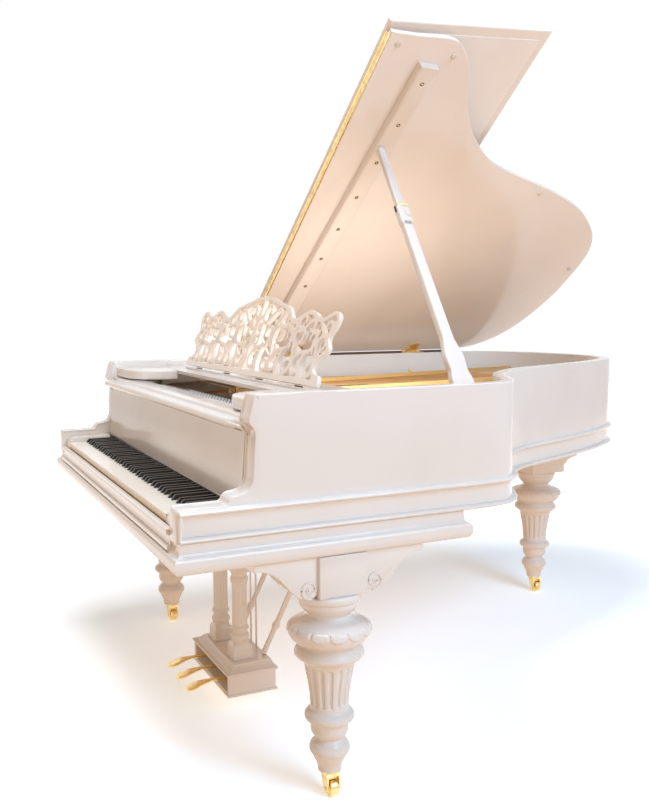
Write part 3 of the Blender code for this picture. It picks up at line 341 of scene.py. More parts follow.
def grid(points, rows_closed=False, cols_closed=False, caps=False):
    """A surface over an array of points, rows by columns; caps closes its first and last row."""
    points = np.asarray(points, float)
    rows, cols = points.shape[:2]
    i, j = np.meshgrid(np.arange(rows if rows_closed else rows - 1),
                       np.arange(cols if cols_closed else cols - 1), indexing="ij")
    down, right = (i + 1) % rows, (j + 1) % cols
    quads = np.stack((i * cols + j, down * cols + j, down * cols + right, i * cols + right), -1)
    faces = quads.reshape(-1, 4).tolist()
    if caps:
        faces += [list(range(cols)), list(range((rows - 1) * cols, rows * cols))]
    return points.reshape(-1, 3), faces


def sleeve(rows):
    """A surface whose rows are closed rings, open at both ends."""
    return grid(rows, cols_closed=True)


def capped(rows):
    """Closed rings with a flat end over the first and the last."""
    return grid(rows, cols_closed=True, caps=True)


def piece(name, parts, finish, body, sharp=40, replaces=()):
    """One object out of several surfaces, welded, facing out and riding on its body."""
    points, faces, start = [], [], 0
    for some, quads in parts:
        points.append(some)
        faces += [[k + start for k in face] for face in quads]
        start += len(some)
    mesh = bpy.data.meshes.new(name)
    mesh.from_pydata(np.concatenate(points).tolist(), [], faces)
    bm = bmesh.new()
    bm.from_mesh(mesh)
    bmesh.ops.remove_doubles(bm, verts=bm.verts, dist=2e-6)
    bmesh.ops.recalc_face_normals(bm, faces=bm.faces)
    bm.to_mesh(mesh)
    bm.free()
    mesh.materials.append(finish)
    mesh.shade_smooth()
    mesh.set_sharp_from_angle(angle=math.radians(sharp))
    obj = bpy.data.objects.new(name, mesh)
    bpy.context.scene.collection.objects.link(obj)
    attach(obj, body)
    if replaces:
        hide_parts(*replaces)
    return obj


def white_piece(name, parts, sharp=40, replaces=()):
    """A white-lacquered piece of the case."""
    return piece(name, parts, WHITE, "case", sharp, replaces)


def smooth_line(points, steps):
    """A curve through the points; each stretch leans on the points before and after it."""
    p = np.asarray(points, float)
    p = np.concatenate((p[:1], p, p[-1:]))
    t = (np.arange(steps) / steps)[None, :, None]
    a, b, c, d = (p[k:len(p) - 3 + k, None, :] for k in range(4))
    curve = 0.5 * (2 * b + (c - a) * t + (2 * a - 5 * b + 4 * c - d) * t * t
                   + (3 * b - a - 3 * c + d) * t ** 3)
    return np.concatenate((curve.reshape(-1, p.shape[1]), p[-1:]))


def arc(centre, radius, start, end, steps):
    """Points on a circle's arc, between two angles in degrees."""
    angle = np.radians(np.linspace(start, end, steps + 1))
    return np.stack((centre[0] + radius * np.cos(angle), centre[1] + radius * np.sin(angle)), -1)


def lathe(profile, steps, centre=(0, 0, 0), swell=None):
    """A profile of (radius, height) turned about a vertical axis; swell gives what is added to the
    radius for an angle and a height."""
    profile = np.asarray(profile, float)
    angle = np.linspace(0, 2 * np.pi, steps, endpoint=False)
    radius = np.repeat(profile[:, :1], steps, 1)
    height = np.repeat(profile[:, 1:], steps, 1)
    if swell is not None:
        radius = radius + swell(np.broadcast_to(angle, radius.shape), height)
    points = np.stack((radius * np.cos(angle), radius * np.sin(angle), height), -1)
    return points + np.asarray(centre, float)


def knob(profile, steps, place):
    """A small turned part, such as a screw's head, at a place in plan."""
    return sleeve(lathe(profile, steps, (*place, 0)))


def directions(path, closed=False):
    """The unit direction of travel at each point of a path."""
    if closed:
        run = np.roll(path, -1, 0) - np.roll(path, 1, 0)
    else:
        run = np.gradient(path, axis=0)
    return run / np.linalg.norm(run, axis=1, keepdims=True)


def sideways(path, closed=False):
    """In plan, the unit direction to the right of travel."""
    run = directions(path, closed)
    return np.stack((run[:, 1], -run[:, 0]), -1)


def offset_line(path, distance, closed=False):
    """A path in plan moved to the right of travel by a distance."""
    return path + sideways(path, closed) * distance


def carry(path, section, closed=False):
    """A section of (offset to the right, z) points carried along a path in plan."""
    section = np.asarray(section, float)
    side = sideways(path, closed)
    plan = path[:, None, :] + side[:, None, :] * section[None, :, :1]
    height = np.broadcast_to(section[None, :, 1:], (*plan.shape[:2], 1))
    return np.concatenate((plan, height), -1)


def tube(path, radius, sides=8):
    """A round tube along a path in space, with its ends drawn in to a point on the axis."""
    path = np.asarray(path, float)
    run = directions(path)
    guide = np.array((0.0, 0.0, 1.0)) if abs(run[0][2]) < 0.8 else np.array((0.0, 1.0, 0.0))
    across = np.cross(run, guide)
    across /= np.linalg.norm(across, axis=1, keepdims=True)
    upward = np.cross(across, run)
    angle = np.linspace(0, 2 * np.pi, sides, endpoint=False)[None, :, None]
    radius = np.broadcast_to(np.asarray(radius, float), (len(path),))[:, None, None]
    rings = path[:, None] + radius * (np.cos(angle) * across[:, None] + np.sin(angle) * upward[:, None])
    ends = [np.repeat(path[k][None, None], sides, 1) for k in (0, -1)]
    return np.concatenate((ends[0], rings, ends[1]))


def rounded_block(low, high, radius, steps=3):
    """A block with round edges: a ball cut in eight, with its parts moved out to the corners."""
    low, high = np.asarray(low, float), np.asarray(high, float)
    quarter = np.linspace(0, np.pi / 2, steps + 1)
    across = np.concatenate([quarter + np.pi / 2 * k for k in range(4)])
    signs = np.repeat([[1, 1], [-1, 1], [-1, -1], [1, -1]], steps + 1, 0)
    rise = np.concatenate((quarter - np.pi / 2, quarter))
    half = (high - low) / 2 - radius
    ball = np.stack((np.outer(np.cos(rise), np.cos(across)), np.outer(np.cos(rise), np.sin(across)),
                     np.repeat(np.sin(rise)[:, None], len(across), 1)), -1)
    corner = np.zeros(ball.shape)
    corner[..., 0] = signs[:, 0] * half[0]
    corner[..., 1] = signs[:, 1] * half[1]
    corner[..., 2] = np.repeat([-1, 1], steps + 1)[:, None] * half[2]
    return (low + high) / 2 + corner + ball * radius


def block(low, high, radius=0.001, steps=2):
    """A closed block between two corners, with round edges."""
    return capped(rounded_block(low, high, radius, steps))


def plate(outline, low, high, edge, steps=3):
    """A flat plate over a closed outline, counted anticlockwise, with quarter-round edges."""
    outline = np.asarray(outline, float)
    quarter = np.radians(np.linspace(0, 90, steps + 1))
    inset = edge * (1 - np.sin(quarter))
    rise = edge * (1 - np.cos(quarter))
    rings = []
    for move, up in zip(inset, rise):
        rings.append((move, low + up))
    for move, up in zip(inset[::-1], rise[::-1]):
        rings.append((move, high - up))
    levels = []
    for move, z in rings:
        ring = offset_line(outline, -move, closed=True)
        levels.append(np.concatenate((ring, np.full((len(ring), 1), z)), -1))
    return np.stack(levels)


def in_side_view(points):
    """Points drawn as (y, z, x) put in their place."""
    return points[..., [2, 0, 1]]


def placed(part, matrix):
    """A surface moved by a matrix."""
    points, faces = part
    matrix = np.array(matrix)
    return points @ matrix[:3, :3].T + matrix[:3, 3], faces


# Legs

LEG_PROFILE = [
    (0.000, LEG_TOP), (0.060, LEG_TOP), (0.0740, 0.5165), (0.0780, 0.5120), (0.0785, 0.5060),
    (0.0770, 0.5010), (0.0735, 0.4985), (0.0730, 0.4950), (0.0735, 0.4920), (0.0715, 0.4850),
    (0.0650, 0.4760), (0.0570, 0.4690), (0.0530, 0.4650), (0.0525, 0.4610), (0.0560, 0.4570),
    (0.0640, 0.4520), (0.0720, 0.4490), (0.0860, 0.4445), (0.0960, 0.4370), (0.1000, 0.4270),
    (0.0985, 0.4160), (0.0930, 0.4050), (0.0840, 0.3965), (0.0765, 0.3905), (0.0740, 0.3870),
    (0.0745, 0.3835), (0.0790, 0.3800), (0.0835, 0.3750), (0.0858, 0.3680), (0.0845, 0.3610),
    (0.0790, 0.3550), (0.0700, 0.3500), (0.0650, 0.3470), (0.0640, 0.3430), (0.0620, 0.3380),
    (0.0590, 0.3200), (0.0550, 0.3000), (0.0515, 0.2800), (0.0490, 0.2600), (0.0475, 0.2400),
    (0.0468, 0.2270), (0.0470, 0.2240), (0.0510, 0.2200), (0.0580, 0.2150), (0.0612, 0.2080),
    (0.0600, 0.2005), (0.0545, 0.1950), (0.0490, 0.1925), (0.0465, 0.1890), (0.0465, 0.1740),
    (0.0450, 0.1650), (0.0400, 0.1560), (0.0350, 0.1510), (0.0345, 0.1480), (0.0380, 0.1440),
    (0.0450, 0.1370), (0.0495, 0.1280), (0.0498, 0.1200), (0.0470, 0.1130), (0.0440, 0.1105),
    (0.0425, 0.1070), (0.0380, 0.0960), (0.0330, 0.0860), (0.0300, 0.0760), (0.0290, 0.0690),
    (0.0270, 0.0657), (0.0000, 0.0657),
]
FLUTES = 16
FLUTE_SPAN = (0.2330, 0.3390)
LEAVES = 14
LEAF_SPAN = (0.4190, 0.4480)
RING_LINES = (0.4490, 0.3850, 0.3765, 0.3720, 0.2165, 0.2120, 0.2020, 0.1945, 0.1390, 0.1330, 0.1150)


def eased(value, low, high):
    """0 below low, 1 above high and a smooth step between them."""
    share = np.clip((value - low) / (high - low), 0, 1)
    return share * share * (3 - 2 * share)


def leg_carving(angle, height):
    """Added radius: flutes between round-ended ribs, lapped leaves round the bulge, a scalloped
    lip under the second ring and fine turned lines."""
    low, high = FLUTE_SPAN
    reach = eased(height, low, low + 0.010) * (1 - eased(height, high - 0.009, high))
    flutes = -0.0058 * eased(np.cos(FLUTES * angle), -0.25, 0.55) * reach
    turn = (angle * LEAVES / (2 * np.pi)) % 1.0 - 0.5
    tip, top = LEAF_SPAN
    tip = tip + 0.0150 * np.abs(2 * turn) ** 3 + 0.0010 * np.cos(6 * np.pi * turn)
    leaf = eased(height, tip - 0.0006, tip + 0.0010) * (1 - eased(height, top - 0.0100, top))
    notch = np.exp(-((0.5 - np.abs(turn)) / 0.055) ** 2) * (1 - eased(height, top - 0.012, top - 0.004))
    veins = sum(np.exp(-((turn - place * (top - height) / 0.020) / 0.022) ** 2)
                for place in (-0.22, 0, 0.22))
    veins = veins * eased(height, tip + 0.003, tip + 0.010) * (1 - eased(height, top - 0.010, top - 0.004))
    leaves = leaf * 0.0038 - 0.0058 * notch * leaf - 0.0015 * veins
    scallop = 0.3615 + 0.0016 * np.abs(np.sin(LEAVES * angle))
    lip = -0.0016 * (1 - eased(height, scallop - 0.0004, scallop + 0.0004)) * eased(height, 0.3480, 0.3540)
    lines = -0.0008 * sum(np.exp(-((height - z) / 0.0007) ** 2) for z in RING_LINES)
    return flutes + leaves + lip + lines


def legs():
    """Turned profile in fine steps; the carving is added where the profile passes it."""
    profile = smooth_line(LEG_PROFILE, 7)
    profile[:, 0] = np.maximum(profile[:, 0], 0)
    for name, (x, y) in LEG_PLACES.items():
        shape = lathe(profile, 240, (x, y + FRONT, 0), leg_carving)
        shape[0, :, :2] = (x, y + FRONT)
        shape[-1, :, :2] = (x, y + FRONT)
        white_piece(f"turned_leg_{name}", [sleeve(shape)], 60, [f"leg_{name}"])


def volute(x, y, z, out, flip):
    """A raised spiral on a bracket's face: radius falls with the angle for one and a half turns."""
    turn = np.linspace(0, 1.55 * 2 * np.pi, 60)
    radius = 0.0195 * (1 - turn / turn[-1]) ** 0.85 + 0.0030
    angle = np.radians(-100) + turn
    path = np.stack((np.full(60, x + out * 0.0004), y + flip * radius * np.cos(angle),
                     z + radius * np.sin(angle)), -1)
    width = 0.0036 * (1 - 0.45 * turn / turn[-1])
    eye = rounded_block((x - 0.0026, y - 0.0042, z - 0.0042), (x + 0.0026, y + 0.0042, z + 0.0042),
                        0.0025)
    return [sleeve(tube(path, width, 10)), capped(eye)]


def bracket_outline(direction, y):
    """Side view of a scroll bracket: a level top, a cyma underside and a round scroll end."""
    under = smooth_line([(0.2220, 0.6000), (0.1950, 0.5970), (0.1720, 0.5860), (0.1520, 0.5670),
                         (0.1340, 0.5460), (0.1160, 0.5290), (0.0980, 0.5200), (0.0830, 0.5185),
                         (0.0700, 0.5240), (0.0640, 0.5350), (0.0620, 0.5480), (0.0560, 0.5560)], 6)
    line = np.concatenate(([(0.2220, 0.6174)], under, [(0.0560, 0.6174)]))
    return np.stack((y + direction * line[:, 0], line[:, 1]), -1)[::-direction]


def leg_blocks():
    """Square blocks with a scroll bracket before and behind, and the rear one's cove."""
    half, inset, shift = 0.063, 0.052, 0.009
    for name, (x, y) in LEG_PLACES.items():
        if name == "rear":
            continue
        y = y + FRONT + shift
        parts = [block((x - half, y - half, LEG_TOP + 0.0003), (x + half, y + half, 0.6175), 0.0022, 3)]
        for direction in (-1, 1):
            side = plate(bracket_outline(direction, y), x - inset, x + inset, 0.0022)
            parts.append(capped(in_side_view(side)))
            for out in (-1, 1):
                parts += volute(x + out * inset, y + direction * 0.0850, 0.5430, out, direction)
        white_piece(f"bracketed_block_{name}", parts, 35, [f"leg_block_{name}"])
    x, y = LEG_PLACES["rear"]
    levels = smooth_line([(0.0780, 0.5174), (0.0800, 0.5190), (0.0803, 0.5470), (0.0810, 0.5500),
                          (0.0850, 0.5520), (0.0870, 0.5590), (0.0910, 0.5680), (0.1010, 0.5785),
                          (0.1080, 0.5820), (0.1085, 0.5850)], 4)
    levels = np.concatenate((levels, [(0.1150, 0.5860), (0.1160, 0.5875), (0.1160, 0.6060),
                                      (0.1145, 0.6078), (0.1010, 0.6090), (0.1000, 0.6100),
                                      (0.1000, 0.6850)]))
    signs = np.array(((-1, -1), (1, -1), (1, 1), (-1, 1)))
    rings = np.concatenate((levels[:, None, :1] * signs + (x, y + FRONT),
                            np.repeat(levels[:, None, 1:], 4, 1)), -1)
    soften(white_piece("coved_block_rear", [capped(rings)], 30, ["leg_block_rear"]), 0.0016)


def soften(obj, width, angle=35):
    """Round a piece's edges by a small width."""
    bevel = obj.modifiers.new("round_edges", "BEVEL")
    bevel.width = width
    bevel.segments = 2
    bevel.limit_method = "ANGLE"
    bevel.angle_limit = math.radians(angle)
    bevel.harden_normals = True


# Casters

CASTER_TRAIL = 0.013
AXLE_HEIGHT = 0.0215


def casters():
    """Brass ferrule, yoke and a crowned wheel with a raised hub on each side."""
    rim = np.concatenate((
        [(0.0044, 0.0123), (0.0085, 0.0125), (0.0094, 0.0120), (0.0100, 0.0095), (0.0120, 0.0085)],
        arc((0.0170, 0.0065), 0.0045, 90, 0, 6), arc((0.0170, -0.0065), 0.0045, 0, -90, 6),
        [(0.0120, -0.0085), (0.0100, -0.0095), (0.0094, -0.0120), (0.0085, -0.0125), (0.0044, -0.0123)]))
    ferrule = [(0.0, 0.0656), (0.0235, 0.0656), (0.0242, 0.0648), (0.0242, 0.0605), (0.0230, 0.0596),
               (0.0, 0.0596)]
    for name, (x, y) in LEG_PLACES.items():
        y = y + FRONT
        axle = np.array((x + CASTER_TRAIL, y, AXLE_HEIGHT))
        wheel = lathe(rim, 48)[..., [0, 2, 1]] + axle
        piece(f"caster_tread_{name}", [grid(wheel, rows_closed=True, cols_closed=True)], BRASS,
              f"wheel_{name}", 30, [f"caster_wheel_{name}"])
        parts = [block((x - 0.0120, y - 0.0134, 0.0452), (x + 0.0190, y + 0.0134, 0.0545), 0.0015)]
        for ends in ((-0.0200, -0.0185), (0.0185, 0.0200)):
            parts.append(sleeve(tube([axle + (0, across, 0) for across in ends], 0.0052, 16)))
        piece(f"caster_rivets_{name}", parts, OLD_BRASS, f"fork_{name}")
        piece(f"caster_collar_{name}", [knob(ferrule, 48, (x, y))], OLD_BRASS, f"fork_{name}", 30)
        dress(f"caster_fork_{name}", BRASS, 0.0007)


def dress(node, finish, width=0.0):
    """A CAD node kept as it is, with its finish and small round edges."""
    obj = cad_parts[node]
    obj.data.materials.clear()
    obj.data.materials.append(finish)
    if width:
        weld = obj.modifiers.new("weld", "WELD")
        weld.merge_threshold = 0.00001
        soften(obj, width)
    return obj


# The case

def rim_path(front, steps=8):
    """The bent rim's outer face in plan, with straight sides that start at a distance back."""
    bent = smooth_line(BENT_RIM, steps)
    straight = np.stack((np.full(9, CASE_HALF), np.linspace(front, BENT_RIM[0][1], 10)[:-1]), -1)
    back = np.stack((np.full(9, -CASE_HALF), np.linspace(BENT_RIM[-1][1], front, 10)[1:]), -1)
    return np.concatenate((straight, bent, back)) + (0, FRONT)


def half_round(z, proud, half, steps=8):
    """Section of a half-round moulding with a small quirk above and below."""
    bead = arc((0, z), 1.0, -90, 90, steps)
    bead[:, 0] *= proud
    bead[:, 1] = z + (bead[:, 1] - z) * half
    return bead


def arm_outline():
    """Side view of an arm: nose over the key block, the long S-curve and the scroll at its top."""
    low = np.concatenate((
        [(0.0120, RIM_FOOT), (0.0120, 0.7480)],
        smooth_line([(0.0128, 0.7530), (0.0165, 0.7580), (0.0250, 0.7600)], 4),
        smooth_line([(0.1210, 0.7600), (0.1290, 0.7640), (0.1340, 0.7730), (0.1430, 0.7795),
                     (0.1560, 0.7815), (0.1700, 0.7850), (0.1810, 0.7930), (0.1880, 0.8060),
                     (0.1905, 0.8200), (0.1925, 0.8600), (0.1950, 0.8950), (0.1960, 0.9080),
                     (0.1950, 0.9200), (0.1900, 0.9300), (0.1835, 0.9370), (0.1805, 0.9440)], 4),
        smooth_line([(0.1815, 0.9500), (0.1850, 0.9600), (0.1890, 0.9760), (0.1930, 0.9900),
                     (0.1965, 0.9995), (0.2000, RIM_TOP - 0.0001)], 4)))
    back = [(0.2300, RIM_TOP - 0.0001), (0.3990, RIM_TOP - 0.0001), (0.3990, RIM_FOOT)]
    line = np.concatenate((low, back))
    return (line + (FRONT, 0))[::-1]


def bead_run(z, start):
    """One bead along the whole rim, with its ends drawn in over the arms' front edges."""
    path = rim_path(start)
    section = half_round(z, 0.0138, 0.0070 if z > 0.7 else 0.0068)
    rows = carry(path, section)
    ends = [np.repeat(rows[k].mean(0)[None, None], rows.shape[1], 1) for k in (0, -1)]
    return grid(np.concatenate((ends[0], rows, ends[1])))


def case():
    """The bent rim, its two arms and the beads that run round them."""
    path = rim_path(0.205)
    edge = 0.0035
    section = np.concatenate((
        [(-RIM_WALL, RIM_FOOT + 0.001), (-RIM_WALL + 0.001, RIM_FOOT), (-0.001, RIM_FOOT),
         (0, RIM_FOOT + 0.001)],
        arc((-edge, RIM_TOP - edge), edge, 0, 90, 4),
        arc((-RIM_WALL + edge, RIM_TOP - edge), edge, 90, 180, 4)))
    rim = carry(path, section)
    parts = [capped(rim)]
    for side in (-1, 1):
        low, high = sorted((side * ARM_INNER, side * (CASE_HALF - 0.0001)))
        arm = plate(arm_outline(), low, high, 0.0030)
        parts.append(capped(in_side_view(arm)))
        low, high = sorted((side * (CASE_HALF - 0.0040), side * (CASE_HALF + 0.0095)))
        upright = rounded_block((low, ARM_FRONT + 0.0015 + FRONT, BEADS[1] - 0.0060),
                                (high, ARM_FRONT + 0.0125 + FRONT, BEADS[0] + 0.0062), 0.0052, 5)
        parts.append(capped(upright))
    parts += [bead_run(z, ARM_FRONT + 0.004) for z in BEADS]
    white_piece("bent_rim", parts, 32, ["outer_rim"])
    parts = []
    for side in (-1, 1):
        bead = arm_outline()[::-1][6:-4]
        inner = side * (ARM_INNER + 0.0024)
        line = np.stack((np.full(len(bead), inner), bead[:, 0] + 0.0012, bead[:, 1] - 0.0010), -1)
        parts.append(sleeve(tube(line, 0.0040, 10)))
        curl = smooth_line([(0.6360, 0.1660, 0.9290), (0.6550, 0.1690, 0.9285), (0.6680, 0.1765, 0.9265),
                            (0.6762, 0.1850, 0.9225), (0.6815, 0.1905, 0.9150), (0.6822, 0.1930, 0.9050)], 6)
        curl = curl * (side, 1, 1) + (0, FRONT, 0)
        parts.append(sleeve(tube(curl, np.linspace(0.0062, 0.0038, len(curl)), 12)))
        low, high = sorted((side * 0.6300, side * 0.6788))
        parts.append(block((low, 0.1880 + FRONT, 0.9160), (high, 0.2140 + FRONT, 0.9360), 0.0020))
    white_piece("arm_edge_beads", parts, 60)
    dress("inner_rim", SPRUCE, 0.001)
    dress("soundboard", SPRUCE)
    dress("pin_block", MAPLE)


def front_rail():
    """Flat top, concave groove and half-round nose, whose ends curl back into the arms; and the
    thin lip above the fallboard."""
    half = ARM_INNER - 0.0012
    x = np.concatenate((-np.linspace(half, 0.60, 20), np.linspace(0.60, half, 20)))
    back = 0.026 * eased(np.abs(x), 0.622, half) ** 1.3
    nose = arc((0.1715, 0.9295), 0.0110, -70, -265, 16)
    groove = smooth_line([(0.1700, 0.9402), (0.1760, 0.9385), (0.1830, 0.9362), (0.1900, 0.9366),
                          (0.1955, 0.9395), (0.1985, 0.9440), (0.2010, 0.9468), (0.2050, 0.9475)], 4)
    top = [(0.2620, 0.9475), (0.2640, 0.9465), (0.2650, 0.9445), (0.2650, 0.9212), (0.2630, 0.9200),
           (0.1900, 0.9200)]
    section = np.concatenate((nose, groove, top))
    weight = 1 - eased(section[:, 0], 0.186, 0.203)
    y = section[None, :, 0] + back[:, None] * weight[None, :]
    rows = np.stack((np.repeat(x[:, None], len(section), 1), y + FRONT,
                     np.repeat(section[None, :, 1], len(x), 0)), -1)
    white_piece("nosed_rail", [capped(rows)], 35, ["front_rail"])
    end = BOARD_HALF - 0.0010
    strip = block((-end, 0.1765 + FRONT, 0.7414), (end, 0.1790 + FRONT, 0.7438), 0.0008)
    white_piece("fallboard_lip", [strip])


def keybed():
    """A slab with a round nose and a cove above it on the front and sides, where the keys lie in a
    well; and the key slip before them."""
    nose, well_top, well_half, slab_back = 0.0205, 0.6599, 0.6785, 0.770
    levels = smooth_line([(0.6180, 0.0080), (0.6192, 0.0115), (0.6225, 0.0155), (0.6280, 0.0187),
                          (0.6350, 0.0203), (0.6425, 0.0205), (0.6488, 0.0196), (0.6530, 0.0172),
                          (0.6552, 0.0138), (0.6560, 0.0105), (0.6575, 0.0092), (well_top, 0.0070),
                          (0.6650, 0.0046), (0.6740, 0.0034), (0.6850, 0.0030)], 3)

    def ring(z, proud, inner):
        outer, front = CASE_HALF + proud, nose - proud + FRONT
        back = slab_back - (nose - proud) + FRONT
        return [(inner, front, z), (outer, front, z), (outer, back, z), (inner, back, z)]

    low = levels[levels[:, 0] <= well_top + 1e-6]
    high = levels[levels[:, 0] >= well_top - 1e-6]
    slab = np.array([ring(z, proud, -CASE_HALF - proud) for z, proud in low])
    strip = np.array([ring(z, proud, well_half) for z, proud in high])
    parts = [capped(rows) for rows in (slab, strip, strip * (-1, 1, 1))]
    parts.append(block((-well_half, 0.600 + FRONT, 0.6590), (well_half, 0.752 + FRONT, 0.6850), 0.0010))
    white_piece("nosed_keybed", parts, 32, ["keybed"])
    side = np.array([(0.0205, 0.6605), (0.0205, 0.7080), (0.0075, 0.7080), (0.0054, 0.7071),
                     (0.0045, 0.7030), (0.0054, 0.6980), (0.0080, 0.6962), (0.0124, 0.6950),
                     (0.0136, 0.6920), (0.0136, 0.6750), (0.0126, 0.6722), (0.0085, 0.6708),
                     (0.0062, 0.6690), (0.0060, 0.6605)])
    slip = plate(side[::-1] + (FRONT, 0), -BOARD_HALF, BOARD_HALF, 0.0003, 1)
    white_piece("moulded_key_slip", [capped(in_side_view(slip))], 28, ["key_slip"])


def plain_boards():
    """Name board, fallboard and strut with rounded edges, the key blocks and the red felt strip."""
    for node, width in (("name_board", 0.0012), ("fallboard", 0.0022), ("desk_strut", 0.0010)):
        dress(node, WHITE, width)
    nose = smooth_line([(0.1680, 0.7440), (0.0620, 0.7440), (0.0480, 0.7430), (0.0360, 0.7385),
                        (0.0275, 0.7300), (0.0232, 0.7190), (0.0220, 0.7060), (0.0220, 0.6605)], 4)
    side = np.concatenate((nose, [(0.1680, 0.6605)])) + (FRONT, 0)
    for name, low, high in (("bass", -BOARD_HALF, -0.6162), ("treble", 0.6162, BOARD_HALF)):
        shape = plate(side, low, high, 0.0030)
        white_piece(f"rounded_key_block_{name}", [capped(in_side_view(shape))], 35, [f"key_block_{name}"])
    end = BOARD_HALF - 0.0010
    felt = block((-end, 0.1900 + FRONT, 0.7414), (end, 0.2140 + FRONT, 0.7434), 0.0006)
    piece("name_board_felt", [felt], RED_FELT, "case")


# The lid

def lid_matrix():
    """From the lid's own frame (across, y, up) into the row frame."""
    x, z = LID_HINGE
    return Matrix.Translation((x, FRONT, z)) @ Matrix.Rotation(-LID_ANGLE, 4, "Y")


def flap_matrix():
    """From the folded flap's frame, whose y runs back over the lid, into the row frame."""
    return lid_matrix() @ Matrix.Translation((0, FOLD_Y, FOLD_UP)) @ Matrix.Rotation(FLAP_REST, 4, "X")


LID_EDGE = [
    (1.486, 0.800), (1.491, 0.880), (1.484, 0.925), (1.461, 0.958), (1.432, 0.986), (1.386, 1.017),
    (1.304, 1.055), (1.194, 1.134), (1.103, 1.238), (1.055, 1.324), (1.003, 1.492), (0.960, 1.624),
    (0.904, 1.757), (0.849, 1.849), (0.767, 1.943), (0.692, 1.991), (0.617, 2.011), (0.489, 2.017),
    (0.358, 2.007), (0.200, 1.962), (0.094, 1.895), (0.028, 1.800), (0.008, 1.700),
]


def main_lid():
    """The bent panel with a moulded edge, a round nose below a small step, and five felt bumpers."""
    front = FOLD_Y + 0.0026
    bent = smooth_line(LID_EDGE, 8)
    treble = np.stack((np.full(4, 1.486), np.linspace(front, 0.780, 4)), -1)
    bass = np.stack((np.full(12, 0.008), np.linspace(1.640, front, 12)), -1)
    outline = np.concatenate((treble, bent, bass))
    low, high = LID_UNDER, LID_UNDER + LID_THICK
    outline = np.flip(outline, 0) if signed_area(outline) < 0 else outline
    levels = plate(outline, low, high - 0.0040, 0.0032, 4)
    step = [(0.0045, high - 0.0040), (0.0050, high - 0.0010), (0.0062, high)]
    rings = [np.concatenate((offset_line(outline, -inset, True), np.full((len(outline), 1), z)), -1)
             for inset, z in step]
    rows = np.concatenate((levels, np.stack(rings)))
    part = placed(capped(rows), lid_matrix())
    piece("bent_lid", [part], LID_WHITE_PAINTED_WARM, "lid", 25, ["lid_main"])
    cone = np.array([(0, 0), (0.0085, 0), (0.0080, -0.0035), (0.0060, -0.0048), (0, -0.0048)])
    bumpers = [placed(knob(cone + (0, LID_UNDER), 16, place), lid_matrix())
               for place in ((1.452, 0.745), (1.440, 0.930), (0.955, 1.560), (0.560, 1.975), (0.050, 1.700))]
    piece("lid_bumpers", bumpers, WOOL, "lid")


def signed_area(outline):
    """The area inside a closed outline, above zero where it is counted anticlockwise."""
    x, y = outline[:, 0], outline[:, 1]
    return 0.5 * np.sum(x * np.roll(y, -1) - y * np.roll(x, -1))


def lid_flap():
    """The folded front flap. Its outer face, now towards the lid, has a raised field inside a
    sloping band that runs along the free edge and round the treble end."""
    x0, x1, y0, y1 = 0.028, 1.500, 0.0030, 0.0020 + FLAP_DEPTH
    moulding = [(0.0318, 0.0013), (0.0306, 0.0017), (0.0300, 0.0030), (0.0290, 0.0040),
                (0.0026, 0.0050), (0.0009, 0.0060), (0.0000, 0.0076)]
    inner_edge = [(0.0000, 0.0181), (0.0008, 0.0198), (0.0022, 0.0213)]
    rows = []
    for inset, z in moulding + inner_edge:
        away = min(inset, 0.0024)
        rows.append([(x0 + away, y0 + away, z), (x1 - inset, y0 + away, z),
                     (x1 - inset, y1 - inset, z), (x0 + away, y1 - inset, z)])
    part = placed(capped(np.array(rows)), flap_matrix())
    piece("front_flap", [part], LID_WHITE_PAINTED_WARM, "flap", 22, ["lid_flap"])


def flap_hinge():
    """A continuous hinge: a row of knuckles along a brass leaf."""
    start, end = 0.030, 1.474
    matrix = lid_matrix()
    leaf = block((start, FOLD_Y - 0.0012, -0.0018), (end, FOLD_Y + 0.0021, 0.0150), 0.0006, 2)
    knuckles = []
    length = (end - start) / KNUCKLES
    for k in range(KNUCKLES):
        a = start + k * length + 0.0006
        b = a + length - 0.0012
        line = [(a, FOLD_Y, FOLD_UP - 0.0012), (b, FOLD_Y, FOLD_UP - 0.0012)]
        knuckles.append(placed(sleeve(tube(line, 0.0027, 12)), matrix))
    piece("fold_hinge", [placed(leaf, matrix), *knuckles], BRASS, "lid", 35,
          ["flap_hinge"])


def lid_batten():
    """The bar under the lid, with softened edges and a row of countersunk screws."""
    start, end = np.array((0.200, 0.811)), np.array((1.410, 0.862))
    along = (end - start) / np.linalg.norm(end - start)
    across = np.array((-along[1], along[0]))
    half, top = 0.031, LID_UNDER - 0.0003
    matrix = lid_matrix()
    corners = np.array([start - across * half, end - across * half, end + across * half,
                        start + across * half])
    face = top - BATTEN_DROP
    rows = []
    for inset, z in ((0, top), (0, face + 0.0060), (0.0012, face + 0.0030), (0.0036, face + 0.0008),
                     (0.0060, face)):
        rows.append(np.concatenate((offset_line(corners, -inset, True), np.full((4, 1), z)), -1))
    obj = piece("screwed_batten", [placed(capped(np.array(rows)), matrix)],
                LID_WHITE_PAINTED_WARM, "lid", 25, ["lid_batten"])
    soften(obj, 0.0015, 60)
    cup = np.array([(0, -0.0003), (0.0058, -0.0003), (0.0064, -0.0001), (0.0064, 0.0004), (0, 0.0004)])
    head = np.array([(0, -0.0012), (0.0016, -0.0011), (0.0029, -0.0004), (0.0029, 0.0002), (0, 0.0002)])
    cups, heads = [], []
    for share in np.linspace(0.096, 0.956, BATTEN_SCREWS):
        point = start + (end - start) * share
        cups.append(placed(knob(cup + (0, face), 20, point), matrix))
        heads.append(placed(knob(head + (0, face), 16, point), matrix))
    piece("batten_screw_holes", cups, RECESS, "lid")
    piece("batten_screws", heads, OLD_BRASS, "lid")


